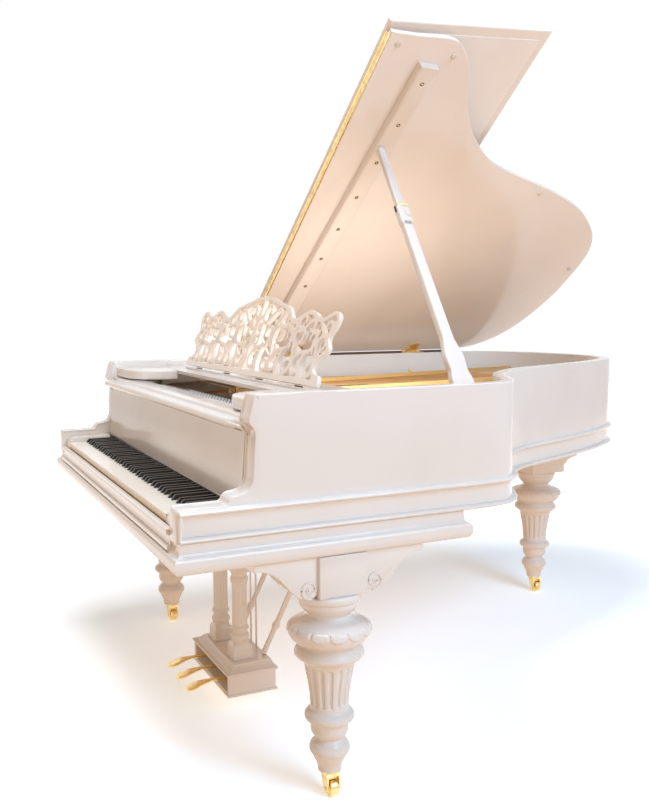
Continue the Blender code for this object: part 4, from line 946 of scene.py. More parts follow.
def lid_hinges():
    """Two butterfly hinges on the bass side: knuckles, a leaf on the rim and one under the lid."""
    x, z = LID_HINGE
    leaf = [(0.0065, -0.0280), (0.0065, 0.0280), (0.0200, 0.0190), (0.0340, 0.0170), (0.0480, 0.0260),
            (0.0560, 0.0120), (0.0580, 0.0), (0.0560, -0.0120), (0.0480, -0.0260), (0.0340, -0.0170),
            (0.0200, -0.0190)]
    leaf = np.array(leaf)[::-1]
    low, high = LID_UNDER - 0.0030, RIM_TOP + 0.0032
    upper_screw = [(0, low), (0.0026, low + 0.0001), (0.0034, low + 0.0009), (0, low + 0.0009)]
    lower_screw = [(0, high), (0.0026, high - 0.0001), (0.0034, high - 0.0008), (0, high - 0.0008)]
    for name, y in HINGE_PLACES:
        under = plate(leaf + (0, y), LID_UNDER - 0.0022, LID_UNDER - 0.0001, 0.0006, 2)
        parts = [placed(capped(under), lid_matrix())]
        for across, side in ((0.016, 0.014), (0.016, -0.014), (0.046, 0.014), (0.046, -0.014)):
            parts.append(placed(knob(upper_screw, 14, (across, y + side)), lid_matrix()))
        piece(f"lid_leaf_{name}", parts, OLD_BRASS, "lid", 35)
        y = y + FRONT
        parts = [block((x + 0.004, y - 0.0445, RIM_TOP + 0.0003), (x + 0.0375, y + 0.0445, RIM_TOP + 0.0026),
                       0.0009)]
        for k in range(5):
            a = y - 0.0445 + k * 0.0178
            parts.append(sleeve(tube([(x, a + 0.0004, z - 0.001), (x, a + 0.0174, z - 0.001)], 0.0062, 20)))
        for side in (-1, 1):
            for dx, dy in ((0.014, 0.034), (0.024, 0.018), (0.030, 0.034)):
                parts.append(knob(lower_screw, 14, (x + dx, y + side * dy)))
        piece(f"butt_hinge_{name}", parts, OLD_BRASS, "case", 35, [f"lid_hinge_{name}"])
    # A dark strip on the bass rim's top beside the hinges, standing for the gap under the lid: painted shade
    strips = [block((x + 0.0016, low + FRONT, RIM_TOP - 0.0008), (x + 0.0060, high + FRONT, 1.0118), 0.0008)
              for low, high in ((0.722, 0.9045), (0.9955, 1.4545), (1.5455, 1.690))]
    piece("gap_shade_strip", strips, PAINTED_GAP_SHADE, "case", 40)


# The prop

PROP_FOOT = (0.662, 0.803, 0.978)
PROP_REACH = 1.118
PROP_TIP_Y = 0.832
PROP_SPLIT = 0.620


def prop_matrix():
    """From the prop's own frame, whose z runs up the stick, into the row frame; its length."""
    foot = Vector(PROP_FOOT)
    up_off = LID_UNDER - BATTEN_DROP - 0.0014
    tip = Vector((LID_HINGE[0] + PROP_REACH * math.cos(LID_ANGLE) - up_off * math.sin(LID_ANGLE),
                  PROP_TIP_Y,
                  LID_HINGE[1] + PROP_REACH * math.sin(LID_ANGLE) + up_off * math.cos(LID_ANGLE)))
    up = (tip - foot).normalized()
    side = (Vector((0, 1, 0)) - up * up.y).normalized()
    turn = Matrix((side.cross(up), side, up)).transposed().to_4x4()
    return Matrix.Translation((foot.x, foot.y + FRONT, foot.z)) @ turn, (tip - foot).length


def stick(levels, thick):
    """A stick from (height, half width) levels: a rectangle section with softened corners."""
    levels = smooth_line(levels, 5)
    angle = np.radians([turn + away for turn in (0, 90, 180, 270) for away in (-88, -60, -30, -2)])
    corner = 0.0035
    rows = []
    for height, half in levels:
        a, b = max(half - corner, 0.0005), thick - corner
        rows.append(np.stack((np.sign(np.cos(angle)) * b + corner * np.cos(angle),
                              np.sign(np.sin(angle)) * a + corner * np.sin(angle),
                              np.full(len(angle), height)), -1))
    return np.array(rows)


def lid_prop():
    """The lid's prop: baluster foot, tapering shaft, knuckle with its catch, folding tip and pins."""
    matrix, length = prop_matrix()
    lower = [(-0.0120, 0.0200), (-0.0080, 0.0290), (0.0000, 0.0315), (0.0280, 0.0325), (0.0400, 0.0310),
             (0.0520, 0.0275), (0.0600, 0.0262), (0.0700, 0.0268), (0.0880, 0.0282), (0.1020, 0.0284),
             (0.1160, 0.0265), (0.1300, 0.0230), (0.1480, 0.0195), (0.1700, 0.0172), (0.3000, 0.0164),
             (0.5400, 0.0155), (0.5480, 0.0158), (0.5560, 0.0180), (0.5640, 0.0186), (0.6080, 0.0186),
             (0.6150, 0.0180), (PROP_SPLIT - 0.0005, 0.0165)]
    shaft = placed(capped(stick(lower, 0.0108)), matrix)
    piece("prop_shaft", [shaft], WHITE, "prop_stick", 30, ["prop_lower"])
    top = length - PROP_SPLIT
    upper = [(PROP_SPLIT + 0.0006, 0.0128), (PROP_SPLIT + 0.03, 0.0130), (PROP_SPLIT + top * 0.6, 0.0122),
             (length - 0.020, 0.0116), (length - 0.008, 0.0100), (length - 0.001, 0.0060)]
    shaft = placed(capped(stick(upper, 0.0083)), matrix)
    piece("prop_folding_tip", [shaft], WHITE, "prop_tip", 30, ["prop_upper"])
    pin = sleeve(tube([(0.0110, y, PROP_SPLIT) for y in (-0.0190, 0.0190)], 0.0032, 14))
    piece("prop_knuckle_pin", [placed(pin, matrix)], OLD_BRASS, "prop_stick")
    cheek = block((0.0100, 0.0020, PROP_SPLIT - 0.040), (0.0135, 0.0176, PROP_SPLIT - 0.006), 0.0010)
    piece("prop_knuckle_cheek", [placed(cheek, matrix)], WHITE, "prop_stick")
    catch = block((-0.0030, -0.0215, PROP_SPLIT - 0.020), (0.0030, -0.0180, PROP_SPLIT), 0.0010)
    piece("prop_catch", [placed(catch, matrix)], EBONY, "prop_stick")
    pin = sleeve(tube([(0, -0.0400, 0), (0, 0.0400, 0)], 0.0040, 16))
    piece("prop_foot_pin", [placed(pin, matrix)], BRASS, "case")
    dress("prop_bracket", BRASS, 0.0006)


# The music desk

SHELF_TOP = 0.982
DESK_HINGE = (0.444, 0.990)
DESK_LEAN = math.radians(22.0)
DESK_THICK = 0.012
DESK_EDGE = [
    (0.546, 0.010), (0.537, 0.029), (0.515, 0.031), (0.496, 0.042), (0.494, 0.058), (0.514, 0.077),
    (0.538, 0.090), (0.543, 0.104), (0.529, 0.120), (0.524, 0.136), (0.538, 0.156), (0.545, 0.180),
    (0.534, 0.198), (0.510, 0.205), (0.484, 0.196), (0.456, 0.187), (0.424, 0.190), (0.390, 0.204),
    (0.352, 0.207), (0.317, 0.196), (0.280, 0.183), (0.254, 0.186), (0.232, 0.203), (0.205, 0.219),
    (0.160, 0.229), (0.110, 0.239), (0.060, 0.250), (0.000, 0.254),
]


def desk_matrix():
    """From the panel's frame (x, forward, up the panel) into the row frame."""
    return (Matrix.Translation((0, DESK_HINGE[0] + FRONT, DESK_HINGE[1]))
            @ Matrix.Rotation(-DESK_LEAN, 4, "X"))


def mirrored(line):
    """A line of (u, v) points on the other half of the panel."""
    return line * (-1, 1)


def turned(vector, angle):
    """A vector in a plane turned to the left by an angle."""
    c, s = math.cos(angle), math.sin(angle)
    return np.array((c * vector[0] - s * vector[1], s * vector[0] + c * vector[1]))


def coil(centre, rim, sense):
    """A spiral round a centre, inwards from a point on its rim: the radius falls with the angle."""
    start = rim - centre
    share = np.linspace(0, 1, 28)[1:]
    angle = math.atan2(start[1], start[0]) + sense * share * COIL_TURNS * 2 * np.pi
    wide = np.linalg.norm(start) * (1 - COIL_DRAW * share ** 1.1)
    return np.stack((centre[0] + wide * np.cos(angle), centre[1] + wide * np.sin(angle)), -1)


def scroll(first, last, bow):
    """A stem with a spiral at each end. Each end is (u, v, radius, sense), sense 1 for left turns.

    The stem is a curve with four controls, and it meets both spirals along their tangents.
    """
    a, b = np.array(first[:2]), np.array(last[:2])
    heading = (b - a) / np.linalg.norm(b - a)
    leave, arrive = turned(heading, bow), turned(heading, -bow)
    start = a - first[3] * first[2] * turned(leave, math.pi / 2)
    end = b - last[3] * last[2] * turned(arrive, math.pi / 2)
    reach = np.linalg.norm(end - start) * 0.40
    t = np.linspace(0, 1, 16)[:, None]
    stem = ((1 - t) ** 3 * start + 3 * (1 - t) ** 2 * t * (start + leave * reach)
            + 3 * (1 - t) * t ** 2 * (end - arrive * reach) + t ** 3 * end)
    return np.concatenate((coil(a, start, -first[3])[::-1], stem, coil(b, end, last[3])))


# Ends of the scrolls and leaves of the right half, in the panel's (u, v); the left half mirrors it
SCROLLS = [
    ((0.060, 0.0525, 0.032, -1), (0.112, 0.134, 0.030, 1), 0.10),
    ((0.158, 0.0465, 0.026, 1), (0.190, 0.134, 0.030, -1), 0.20),
    ((0.222, 0.0505, 0.030, -1), (0.276, 0.130, 0.028, 1), 0.10),
    ((0.316, 0.0465, 0.026, 1), (0.346, 0.130, 0.030, -1), 0.20),
    ((0.378, 0.0505, 0.030, -1), (0.432, 0.124, 0.027, 1), 0.10),
    ((0.462, 0.0425, 0.022, 1), (0.494, 0.112, 0.026, -1), 0.25),
    ((0.503, 0.159, 0.023, -1), (0.432, 0.160, 0.022, 1), 0.40),
    ((0.404, 0.160, 0.020, 1), (0.340, 0.172, 0.026, -1), 0.40),
    ((0.286, 0.152, 0.020, 1), (0.202, 0.186, 0.026, -1), 0.30),
    ((0.146, 0.186, 0.026, 1), (0.066, 0.200, 0.032, -1), 0.45),
    ((0.040, 0.112, 0.018, 1), (0.036, 0.150, 0.016, 1), 0.50),
]
FRET_LEAVES = [
    ((0.000, 0.012), (0.000, 0.094), 0.0, 0.010), ((0.000, 0.084), (0.000, 0.170), 0.0, 0.013),
    ((0.000, 0.158), (0.000, 0.250), 0.0, 0.009), ((0.004, 0.130), (0.040, 0.196), 0.25, 0.008),
    ((0.114, 0.010), (0.104, 0.094), 0.25, 0.010), ((0.272, 0.010), (0.262, 0.094), 0.25, 0.010),
    ((0.424, 0.010), (0.414, 0.094), 0.25, 0.010), ((0.500, 0.012), (0.534, 0.026), 0.10, 0.007),
    ((0.236, 0.150), (0.240, 0.196), 0.15, 0.007), ((0.310, 0.120), (0.312, 0.180), 0.15, 0.008),
    ((0.158, 0.168), (0.150, 0.096), -0.20, 0.009), ((0.306, 0.150), (0.302, 0.092), -0.20, 0.009),
    ((0.462, 0.150), (0.456, 0.080), -0.20, 0.008), ((0.190, 0.104), (0.204, 0.076), 0.20, 0.007),
    ((0.346, 0.100), (0.358, 0.074), 0.20, 0.007), ((0.060, 0.084), (0.034, 0.098), 0.20, 0.007),
]
FRET_SOFT = 0.0012
FRET_STEP = 0.0015
BORDER_HALF = 0.0062
RAIL_HALF = 0.0085
COIL_TURNS = 0.66
COIL_DRAW = 0.46


def fret_bands():
    """Every band of the fretwork as a line and its half widths: border, rail, scrolls, leaves."""
    right = smooth_line(DESK_EDGE, 6)
    border = offset_line(np.concatenate((right, mirrored(right)[::-1][1:])), -BORDER_HALF)
    yield border, np.full(len(border), BORDER_HALF)
    yield np.array([(-0.538, RAIL_HALF), (0.538, RAIL_HALF)]), np.full(2, RAIL_HALF)
    for first, last, bow in SCROLLS:
        line = scroll(first, last, bow)
        half = 0.0058 - 0.0014 * np.linspace(-1, 1, len(line)) ** 2
        yield line, half
        yield mirrored(line), half
    for base, tip, bow, half in FRET_LEAVES:
        base, tip = np.array(base), np.array(tip)
        across = np.array((-(tip - base)[1], (tip - base)[0]))
        line = smooth_line([base, (base + tip) / 2 + across * bow, tip], 8)
        wide = half * np.sin(np.pi * np.linspace(0.12, 0.97, len(line))) ** 0.8
        yield line, wide
        yield mirrored(line), wide


def fret_field(us, vs):
    """How deep inside the fretwork each point of a net lies: a soft maximum over the bands of
    (half width - distance to the middle line), so that crossings get small fillets."""
    total = np.full((len(us), len(vs)), 1e-30)
    for line, half in fret_bands():
        reach = half.max() + 0.012
        i0, j0 = np.searchsorted(us, line[:, 0].min() - reach), np.searchsorted(vs, line[:, 1].min() - reach)
        i1, j1 = np.searchsorted(us, line[:, 0].max() + reach), np.searchsorted(vs, line[:, 1].max() + reach)
        gu, gv = np.meshgrid(us[i0:i1], vs[j0:j1], indexing="ij")
        best = np.full(gu.shape, -1.0)
        for p, q, wide, next_wide in zip(line, line[1:], half, half[1:]):
            run = q - p
            t = np.clip(((gu - p[0]) * run[0] + (gv - p[1]) * run[1]) / max(run @ run, 1e-12), 0, 1)
            far = np.hypot(gu - p[0] - t * run[0], gv - p[1] - t * run[1])
            np.maximum(best, wide + (next_wide - wide) * t - far, out=best)
        total[i0:i1, j0:j1] += np.exp(best / FRET_SOFT)
    return FRET_SOFT * np.log(total)


def traced(field, us, vs):
    """Closed outlines of the region above zero, walked with the solid on the left."""
    solid = field > 0
    mixed = solid[:-1, :-1].astype(int) + solid[1:, :-1] + solid[1:, 1:] + solid[:-1, 1:]
    links = {}
    for i, j in np.argwhere((mixed > 0) & (mixed < 4)):
        corners = [(i, j), (i + 1, j), (i + 1, j + 1), (i, j + 1)]
        inside = [solid[c] for c in corners]
        edges = [(corners[k], corners[(k + 1) % 4]) for k in range(4)]
        for k in range(4):
            if inside[k] and not inside[(k + 1) % 4]:
                back = k
                while inside[back]:
                    back = (back - 1) % 4
                links[tuple(sorted(edges[k]))] = tuple(sorted(edges[back]))
    loops = []
    while links:
        key, loop = next(iter(links)), []
        while key in links:
            (a, b), key = key, links.pop(key)
            share = field[a] / (field[a] - field[b])
            loop.append((us[a[0]] + (us[b[0]] - us[a[0]]) * share, vs[a[1]] + (vs[b[1]] - vs[a[1]]) * share))
        loops.append(np.array(loop))
    return loops


def evened(loop, spacing):
    """A closed line with its net's steps smoothed out and its points evenly spaced."""
    for _ in range(4):
        loop = 0.5 * loop + 0.25 * (np.roll(loop, 1, 0) + np.roll(loop, -1, 0))
    closed = np.concatenate((loop, loop[:1]))
    along = np.concatenate(([0], np.cumsum(np.linalg.norm(np.diff(closed, axis=0), axis=1))))
    count = max(int(along[-1] / spacing), 8)
    marks = np.linspace(0, along[-1], count, endpoint=False)
    return np.stack([np.interp(marks, along, closed[:, k]) for k in (0, 1)], -1)


def fret_panel():
    """The pierced panel: flat faces over the traced fretwork, with softened arrises."""
    us = np.arange(-0.5520, 0.5521, FRET_STEP)
    vs = np.arange(-0.0045, 0.2600, FRET_STEP)
    loops = [evened(loop, 0.0028) for loop in traced(fret_field(us, vs), us, vs) if len(loop) > 12]
    section = [(0.0005, 0.0), (0.0, 0.0005), (0.0, DESK_THICK - 0.0011),
               (0.0003, DESK_THICK - 0.0004), (0.0011, DESK_THICK)]
    parts = []
    for loop in loops:
        rings = [offset_line(loop, -inset, True) for inset, _ in section]
        rows = np.stack([np.stack((ring[:, 0], np.full(len(ring), -forward), ring[:, 1]), -1)
                         for ring, (_, forward) in zip(rings, section)])
        parts.append(sleeve(rows))
    for inset, forward in (section[0], section[-1]):
        rims = [offset_line(loop, -inset, True) for loop in loops]
        rims = [np.stack((rim[:, 0], np.full(len(rim), -forward), rim[:, 1]), -1) for rim in rims]
        faces = tessellate_polygon([[Vector(point) for point in rim] for rim in rims])
        parts.append((np.concatenate(rims), [list(face) for face in faces]))
    matrix = desk_matrix()
    # The panel takes the desk's lacquer, whose colour holds painted shade
    obj = piece("fretwork_panel", [placed(part, matrix) for part in parts], DESK_WHITE_PAINTED_SHADE, "desk_panel",
                50, ["music_desk"])
    level = obj.modifiers.new("flat_faces", "WEIGHTED_NORMAL")
    level.keep_sharp = True


def desk_base():
    """The shelf, the two bowed trays, the small hinges under the panel and the ledge before it."""
    back = 0.366 - 0.0003
    end = BOARD_HALF - 0.0010
    bow = smooth_line([(0.5600, 0.2150), (0.5280, 0.2190), (0.4960, 0.2300), (0.4640, 0.2520),
                       (0.4410, 0.2860), (0.4290, 0.3240), (0.4260, 0.3500)], 6)
    outline = np.concatenate(([(end, back), (end, 0.2150)], bow, [(0.4262, back)]))
    for name, side in (("treble", 1), ("bass", -1)):
        line = outline * (side, 1) + (0, FRONT)
        line = np.flip(line, 0) if signed_area(line) < 0 else line
        slab = plate(line, SHELF_TOP - 0.031, SHELF_TOP, 0.0042, 4)
        piece(f"bowed_tray_{name}", [capped(slab)], WHITE, "shelf",
              28, [f"desk_tray_{name}"])
    dress("desk_shelf", WHITE, 0.0016)
    leaves = []
    for x in (-0.42, -0.14, 0.14, 0.42):
        leaves.append(block((x - 0.022, DESK_HINGE[0] - 0.016 + FRONT, SHELF_TOP),
                            (x + 0.022, DESK_HINGE[0] - 0.001 + FRONT, SHELF_TOP + 0.0012), 0.0004))
        line = [(x - 0.022, DESK_HINGE[0] + FRONT, DESK_HINGE[1] - 0.0045),
                (x + 0.022, DESK_HINGE[0] + FRONT, DESK_HINGE[1] - 0.0045)]
        leaves.append(sleeve(tube(line, 0.0030, 12)))
    piece("desk_hinges", leaves, DARK_BRASS, "shelf")
    ledge = block((-0.520, 0.4240 + FRONT, SHELF_TOP), (0.520, 0.4270 + FRONT, SHELF_TOP + 0.0060), 0.0012)
    piece("music_ledge", [ledge], WHITE, "shelf")


# The pedal lyre

def squared(points, centre, weight):
    """Rings pushed out from round (0) to square (1) by a weight for each row."""
    plan = points[..., :2] - centre
    angle = np.arctan2(plan[..., 1], plan[..., 0])
    stretch = 1 / np.maximum(np.abs(np.cos(angle)), np.abs(np.sin(angle)))
    factor = 1 + (stretch - 1) * np.asarray(weight)[:, None]
    points = points.copy()
    points[..., :2] = centre + plan * factor[..., None]
    return points


def lyre_columns():
    """Square base and head with a turned, reeded shaft between collars."""
    top = 0.6177
    levels = [
        (1, 0.0310, 0.1348), (1, 0.0328, 0.1356), (1, 0.0330, 0.1415), (1, 0.0315, 0.1432),
        (1, 0.0292, 0.1460), (1, 0.0290, 0.1690), (1, 0.0287, 0.1730), (0.95, 0.0278, 0.1768),
        (0.75, 0.0262, 0.1806), (0.45, 0.0252, 0.1842), (0.15, 0.0248, 0.1875), (0, 0.0262, 0.1910),
        (0, 0.0288, 0.1955), (0, 0.0298, 0.2005), (0, 0.0288, 0.2060),
        (0, 0.0262, 0.2105), (0, 0.0232, 0.2135), (0, 0.0225, 0.2165), (0, 0.0240, 0.2200),
        (0, 0.0275, 0.2235), (0, 0.0285, 0.2280), (0, 0.0275, 0.2325), (0, 0.0245, 0.2360),
        (0, 0.0236, 0.2400), (0, 0.0230, 0.3000), (0, 0.0232, 0.3600), (0, 0.0240, 0.3670),
        (0, 0.0262, 0.3705), (0, 0.0282, 0.3770), (0, 0.0278, 0.3830), (0, 0.0256, 0.3875),
        (0, 0.0238, 0.3910), (0, 0.0235, 0.3945), (0, 0.0250, 0.3985), (0, 0.0268, 0.4015),
        (1, 0.0270, 0.4040), (1, 0.0290, 0.4080), (1, 0.0290, 0.5850), (1, 0.0302, 0.5890),
        (1, 0.0330, 0.5930), (1, 0.0330, top),
    ]
    table = np.array(levels)
    shaft = (0.2440, 0.3620)

    def reeding(angle, height):
        reach = eased(height, shaft[0], shaft[0] + 0.006) * (1 - eased(height, shaft[1] - 0.006, shaft[1]))
        return -0.0016 * reach * (0.5 - 0.5 * np.cos(14 * angle)) ** 2

    heights = np.sort(np.concatenate((table[:, 2], np.linspace(*shaft, 24))))
    radius = np.interp(heights, table[:, 2], table[:, 1])
    weight = np.interp(heights, table[:, 2], table[:, 0])
    profile = np.stack((radius, heights), -1)
    for name, side in (("bass", -1), ("treble", 1)):
        centre = np.array((side * COLUMN_PLACE[0], COLUMN_PLACE[1] + FRONT))
        rings = squared(lathe(profile, 112, (*centre, 0), reeding), centre, weight)
        white_piece(f"lyre_post_{name}", [capped(rings)], 30, [f"lyre_column_{name}"])
        parts = []
        for dx, dy in ((0, -1), (0, 1), (-1, 0), (1, 0)):
            middle = (centre[0] + dx * 0.0289, centre[1] + dy * 0.0289)
            wide = (0.0185 if dx == 0 else 0.0006, 0.0185 if dy == 0 else 0.0006)
            parts.append(block((middle[0] - wide[0], middle[1] - wide[1], 0.418),
                               (middle[0] + wide[0], middle[1] + wide[1], 0.572), 0.0005))
        white_piece(f"post_panels_{name}", parts)


def pedal_shape(x):
    """A brass lever with a drooping, flared toe, from (y, z, half width, half thickness)."""
    stations = smooth_line([
        (0.4350, 0.0780, 0.0068, 0.0048), (0.3700, 0.0795, 0.0068, 0.0048),
        (0.3200, 0.0812, 0.0070, 0.0046), (0.3000, 0.0818, 0.0078, 0.0044),
        (0.2860, 0.0812, 0.0096, 0.0042), (0.2720, 0.0796, 0.0140, 0.0043),
        (0.2560, 0.0766, 0.0196, 0.0044), (0.2420, 0.0728, 0.0228, 0.0043),
        (0.2300, 0.0694, 0.0222, 0.0040), (0.2200, 0.0668, 0.0178, 0.0036),
        (0.2160, 0.0658, 0.0122, 0.0031), (0.2150, 0.0655, 0.0060, 0.0022)], 5)
    angle = np.linspace(0, 2 * np.pi, 24, endpoint=False)
    bend = np.sign(np.cos(angle)) * np.abs(np.cos(angle)) ** 0.7
    rise = np.sign(np.sin(angle)) * np.abs(np.sin(angle)) ** 0.8
    return np.stack((x + stations[:, 2:3] * bend, np.repeat(stations[:, :1], 24, 1) + FRONT,
                     stations[:, 1:2] + stations[:, 3:] * rise), -1)


def lyre():
    """Columns, box and pedals, the two turned braces and the push rods behind the columns."""
    lyre_columns()
    dress("pedal_box", WHITE, 0.0014)
    for name, x in (("soft", -PEDAL_SPACING), ("sostenuto", 0.0), ("damper", PEDAL_SPACING)):
        piece(f"{name}_pedal_lever", [capped(pedal_shape(x))], BRASS,
              f"{name}_pedal", 50, [f"pedal_{name}"])
    foot = np.array((0.460 + FRONT, 0.1345))
    head = np.array((0.706 + FRONT, 0.618))
    run = (head - foot) / np.linalg.norm(head - foot)
    length = np.linalg.norm(head - foot)
    turning = [(0.004, 0.0084), (0.040, 0.0080), (0.070, 0.0082), (0.084, 0.0086), (0.088, 0.0098),
               (0.0915, 0.0118), (0.096, 0.0123), (0.100, 0.0118), (0.104, 0.0098), (0.108, 0.0084),
               (0.130, 0.0082), (0.300, 0.0094), (length - 0.060, 0.0090), (length - 0.050, 0.0104),
               (length - 0.040, 0.0114), (length - 0.030, 0.0104), (length - 0.012, 0.0090)]
    along, thick = np.array(turning).T
    for name, side in (("bass", -1), ("treble", 1)):
        line = np.stack((np.full(len(along), side * 0.105), foot[0] + run[0] * along,
                         foot[1] + run[1] * along), -1)
        white_piece(f"lyre_brace_{name}", [sleeve(tube(line, thick, 20))], 50, [f"lyre_rod_{name}"])
    for name, x in (("soft", -0.045), ("sostenuto", 0.0), ("damper", 0.045)):
        line = [(x, 0.462 + FRONT, z) for z in np.linspace(0.1340, 0.6178, 8)]
        white_piece(f"{name}_trapwork_rod", [sleeve(tube(line, 0.0030, 12))])


# The keyboard

def keys():
    """The solids of the keys, with round edges worn by fingers."""
    for node in ("white_keys", "key_c4", "key_d4", "key_e4"):
        dress(node, IVORY, 0.0009)
    for node in ("black_keys", "key_c_sharp4", "key_d_sharp4"):
        dress(node, EBONY, 0.0012)
    dress("key_frame", MAPLE, 0.0008)


# Plate, strings and action

PLATE_TOP = 0.908
TREBLE_LEVEL = 0.9150
BASS_LEVEL = 0.9276
NUT = 0.491
DAMPER_Y = 0.576
TREBLE_NOTES = 62
BASS_NOTES = 26
BASS_SINGLES = 9
LAST_DAMPED = 72
LONG_BRIDGE = [(0.560, 0.740), (0.430, 0.900), (0.260, 1.150), (0.080, 1.380), (-0.140, 1.540),
               (-0.440, 1.620)]
PLATE_POST = (-0.404, 1.292)
BASS_BRIDGE = [(-0.500, 1.735), (-0.380, 1.790), (-0.240, 1.825), (-0.080, 1.835)]


def notes():
    """For every note: its x at the nut, sideways lean, strings, spacing and whether it is bass."""
    for k in range(BASS_NOTES):
        count = 1 if k < BASS_SINGLES else 2
        yield -0.590 + 0.355 * k / (BASS_NOTES - 1), 0.105, count, 0.0056, True
    for k in range(TREBLE_NOTES):
        share = k / (TREBLE_NOTES - 1)
        yield -0.200 + 0.790 * share, -0.235 * (1 - share) ** 1.3, 3, 0.0021, False


def at_y(x, lean, y):
    """A string's x at a distance y back, from its x over the keys and its sideways lean."""
    return x + lean * (y - 0.484)


def crossing(x, lean, line):
    """Where a string meets a line in plan, found by going back and forth between the two."""
    line = np.asarray(line)[np.argsort(np.asarray(line)[:, 0])]
    y = 1.3
    for _ in range(40):
        y = 0.5 * y + 0.5 * np.interp(at_y(x, lean, y), line[:, 0], line[:, 1])
    return y


def web_line():
    """The inner edge of the plate's web along the bent side and the tail."""
    edge = offset_line(smooth_line(BENT_RIM, 6), -0.089)
    return edge[edge[:, 0] > -0.560]


def strings():
    """Every string from its pin over the nut and the bridge to its hitch pin on the plate."""
    web = web_line()
    long_bridge, bass_bridge = smooth_line(LONG_BRIDGE, 6), smooth_line(BASS_BRIDGE, 6)
    pin = [(0.0, 0.9335), (0.0022, 0.9335), (0.0029, 0.9322), (0.0033, 0.9230), (0.0034, 0.9080)]
    coil_rows = [(0.0034 + 0.0010 * (k % 2), 0.9165 + 0.0008 * k) for k in range(7)]
    plain, wound, coils, pins, small_pins, studs = [], [], [], [], [], []
    for number, (x, lean, count, gap, bass) in enumerate(notes()):
        level = BASS_LEVEL if bass else TREBLE_LEVEL
        if bass:
            thick = 0.0022 - 0.0010 * number / BASS_NOTES
        else:
            thick = 0.00055 - 0.00002 * (number - BASS_NOTES) / 10
        bridge_y = crossing(x, lean, bass_bridge if bass else long_bridge)
        hitch_y = crossing(x, lean, web) + 0.010
        for turn in range(count):
            dx = (turn - (count - 1) / 2) * gap
            pin_x = x + (turn - (count - 1) / 2) * (0.0046 if bass else 0.0042)
            pin_y = 0.300 + 0.020 * turn + (0.004 if number % 2 else 0.0)
            line = [(pin_x + 0.0040, pin_y, 0.9188), (at_y(x, lean, NUT) + dx, NUT, level),
                    (at_y(x, lean, bridge_y) + dx, bridge_y, level),
                    (at_y(x, lean, hitch_y) + dx * 0.6, hitch_y, 0.9105)]
            line = np.array(line) + (0, FRONT, 0)
            plain.append(sleeve(tube(line, 0.0007 if bass else thick, 6)))
            if bass:
                span = np.array([NUT + 0.028, NUT + 0.031, bridge_y - 0.031, bridge_y - 0.028])
                winding = np.stack((at_y(x, lean, span) + dx, span + FRONT, np.full(4, level)), -1)
                wound.append(sleeve(tube(winding, (thick * 0.5, thick, thick, thick * 0.5), 10)))
            pins.append(knob(pin, 8, (pin_x, pin_y + FRONT)))
            coils.append(knob(coil_rows, 10, (pin_x, pin_y + FRONT)))
            for y, low, high in ((bridge_y - 0.005, level - 0.003, level + 0.0030),
                                 (hitch_y, 0.9078, 0.9135)):
                place = [(at_y(x, lean, y) + dx * 0.8 + 0.0010, y + FRONT, z) for z in (low, high)]
                small_pins.append(sleeve(tube(place, 0.0008, 6)))
        half = 0.0046 if bass else 0.0041
        studs.append(block((at_y(x, lean, NUT) - half, NUT - 0.0030 + FRONT, level - 0.0022),
                           (at_y(x, lean, NUT) + half, NUT + 0.0030 + FRONT, level + 0.0040), 0.0008, 1))
    piece("plain_strings", plain, STEEL, "case", 60, ["treble_strings"])
    piece("wound_strings", wound, COPPER, "case", 60, ["bass_strings"])
    piece("tuning_pins", pins, STEEL, "case", 50)
    piece("wire_coils", coils, STEEL, "case", 60)
    piece("bridge_and_hitch_pins", small_pins, OLD_BRASS, "case", 60)
    piece("agraffes", studs, BRASS, "case", 60)


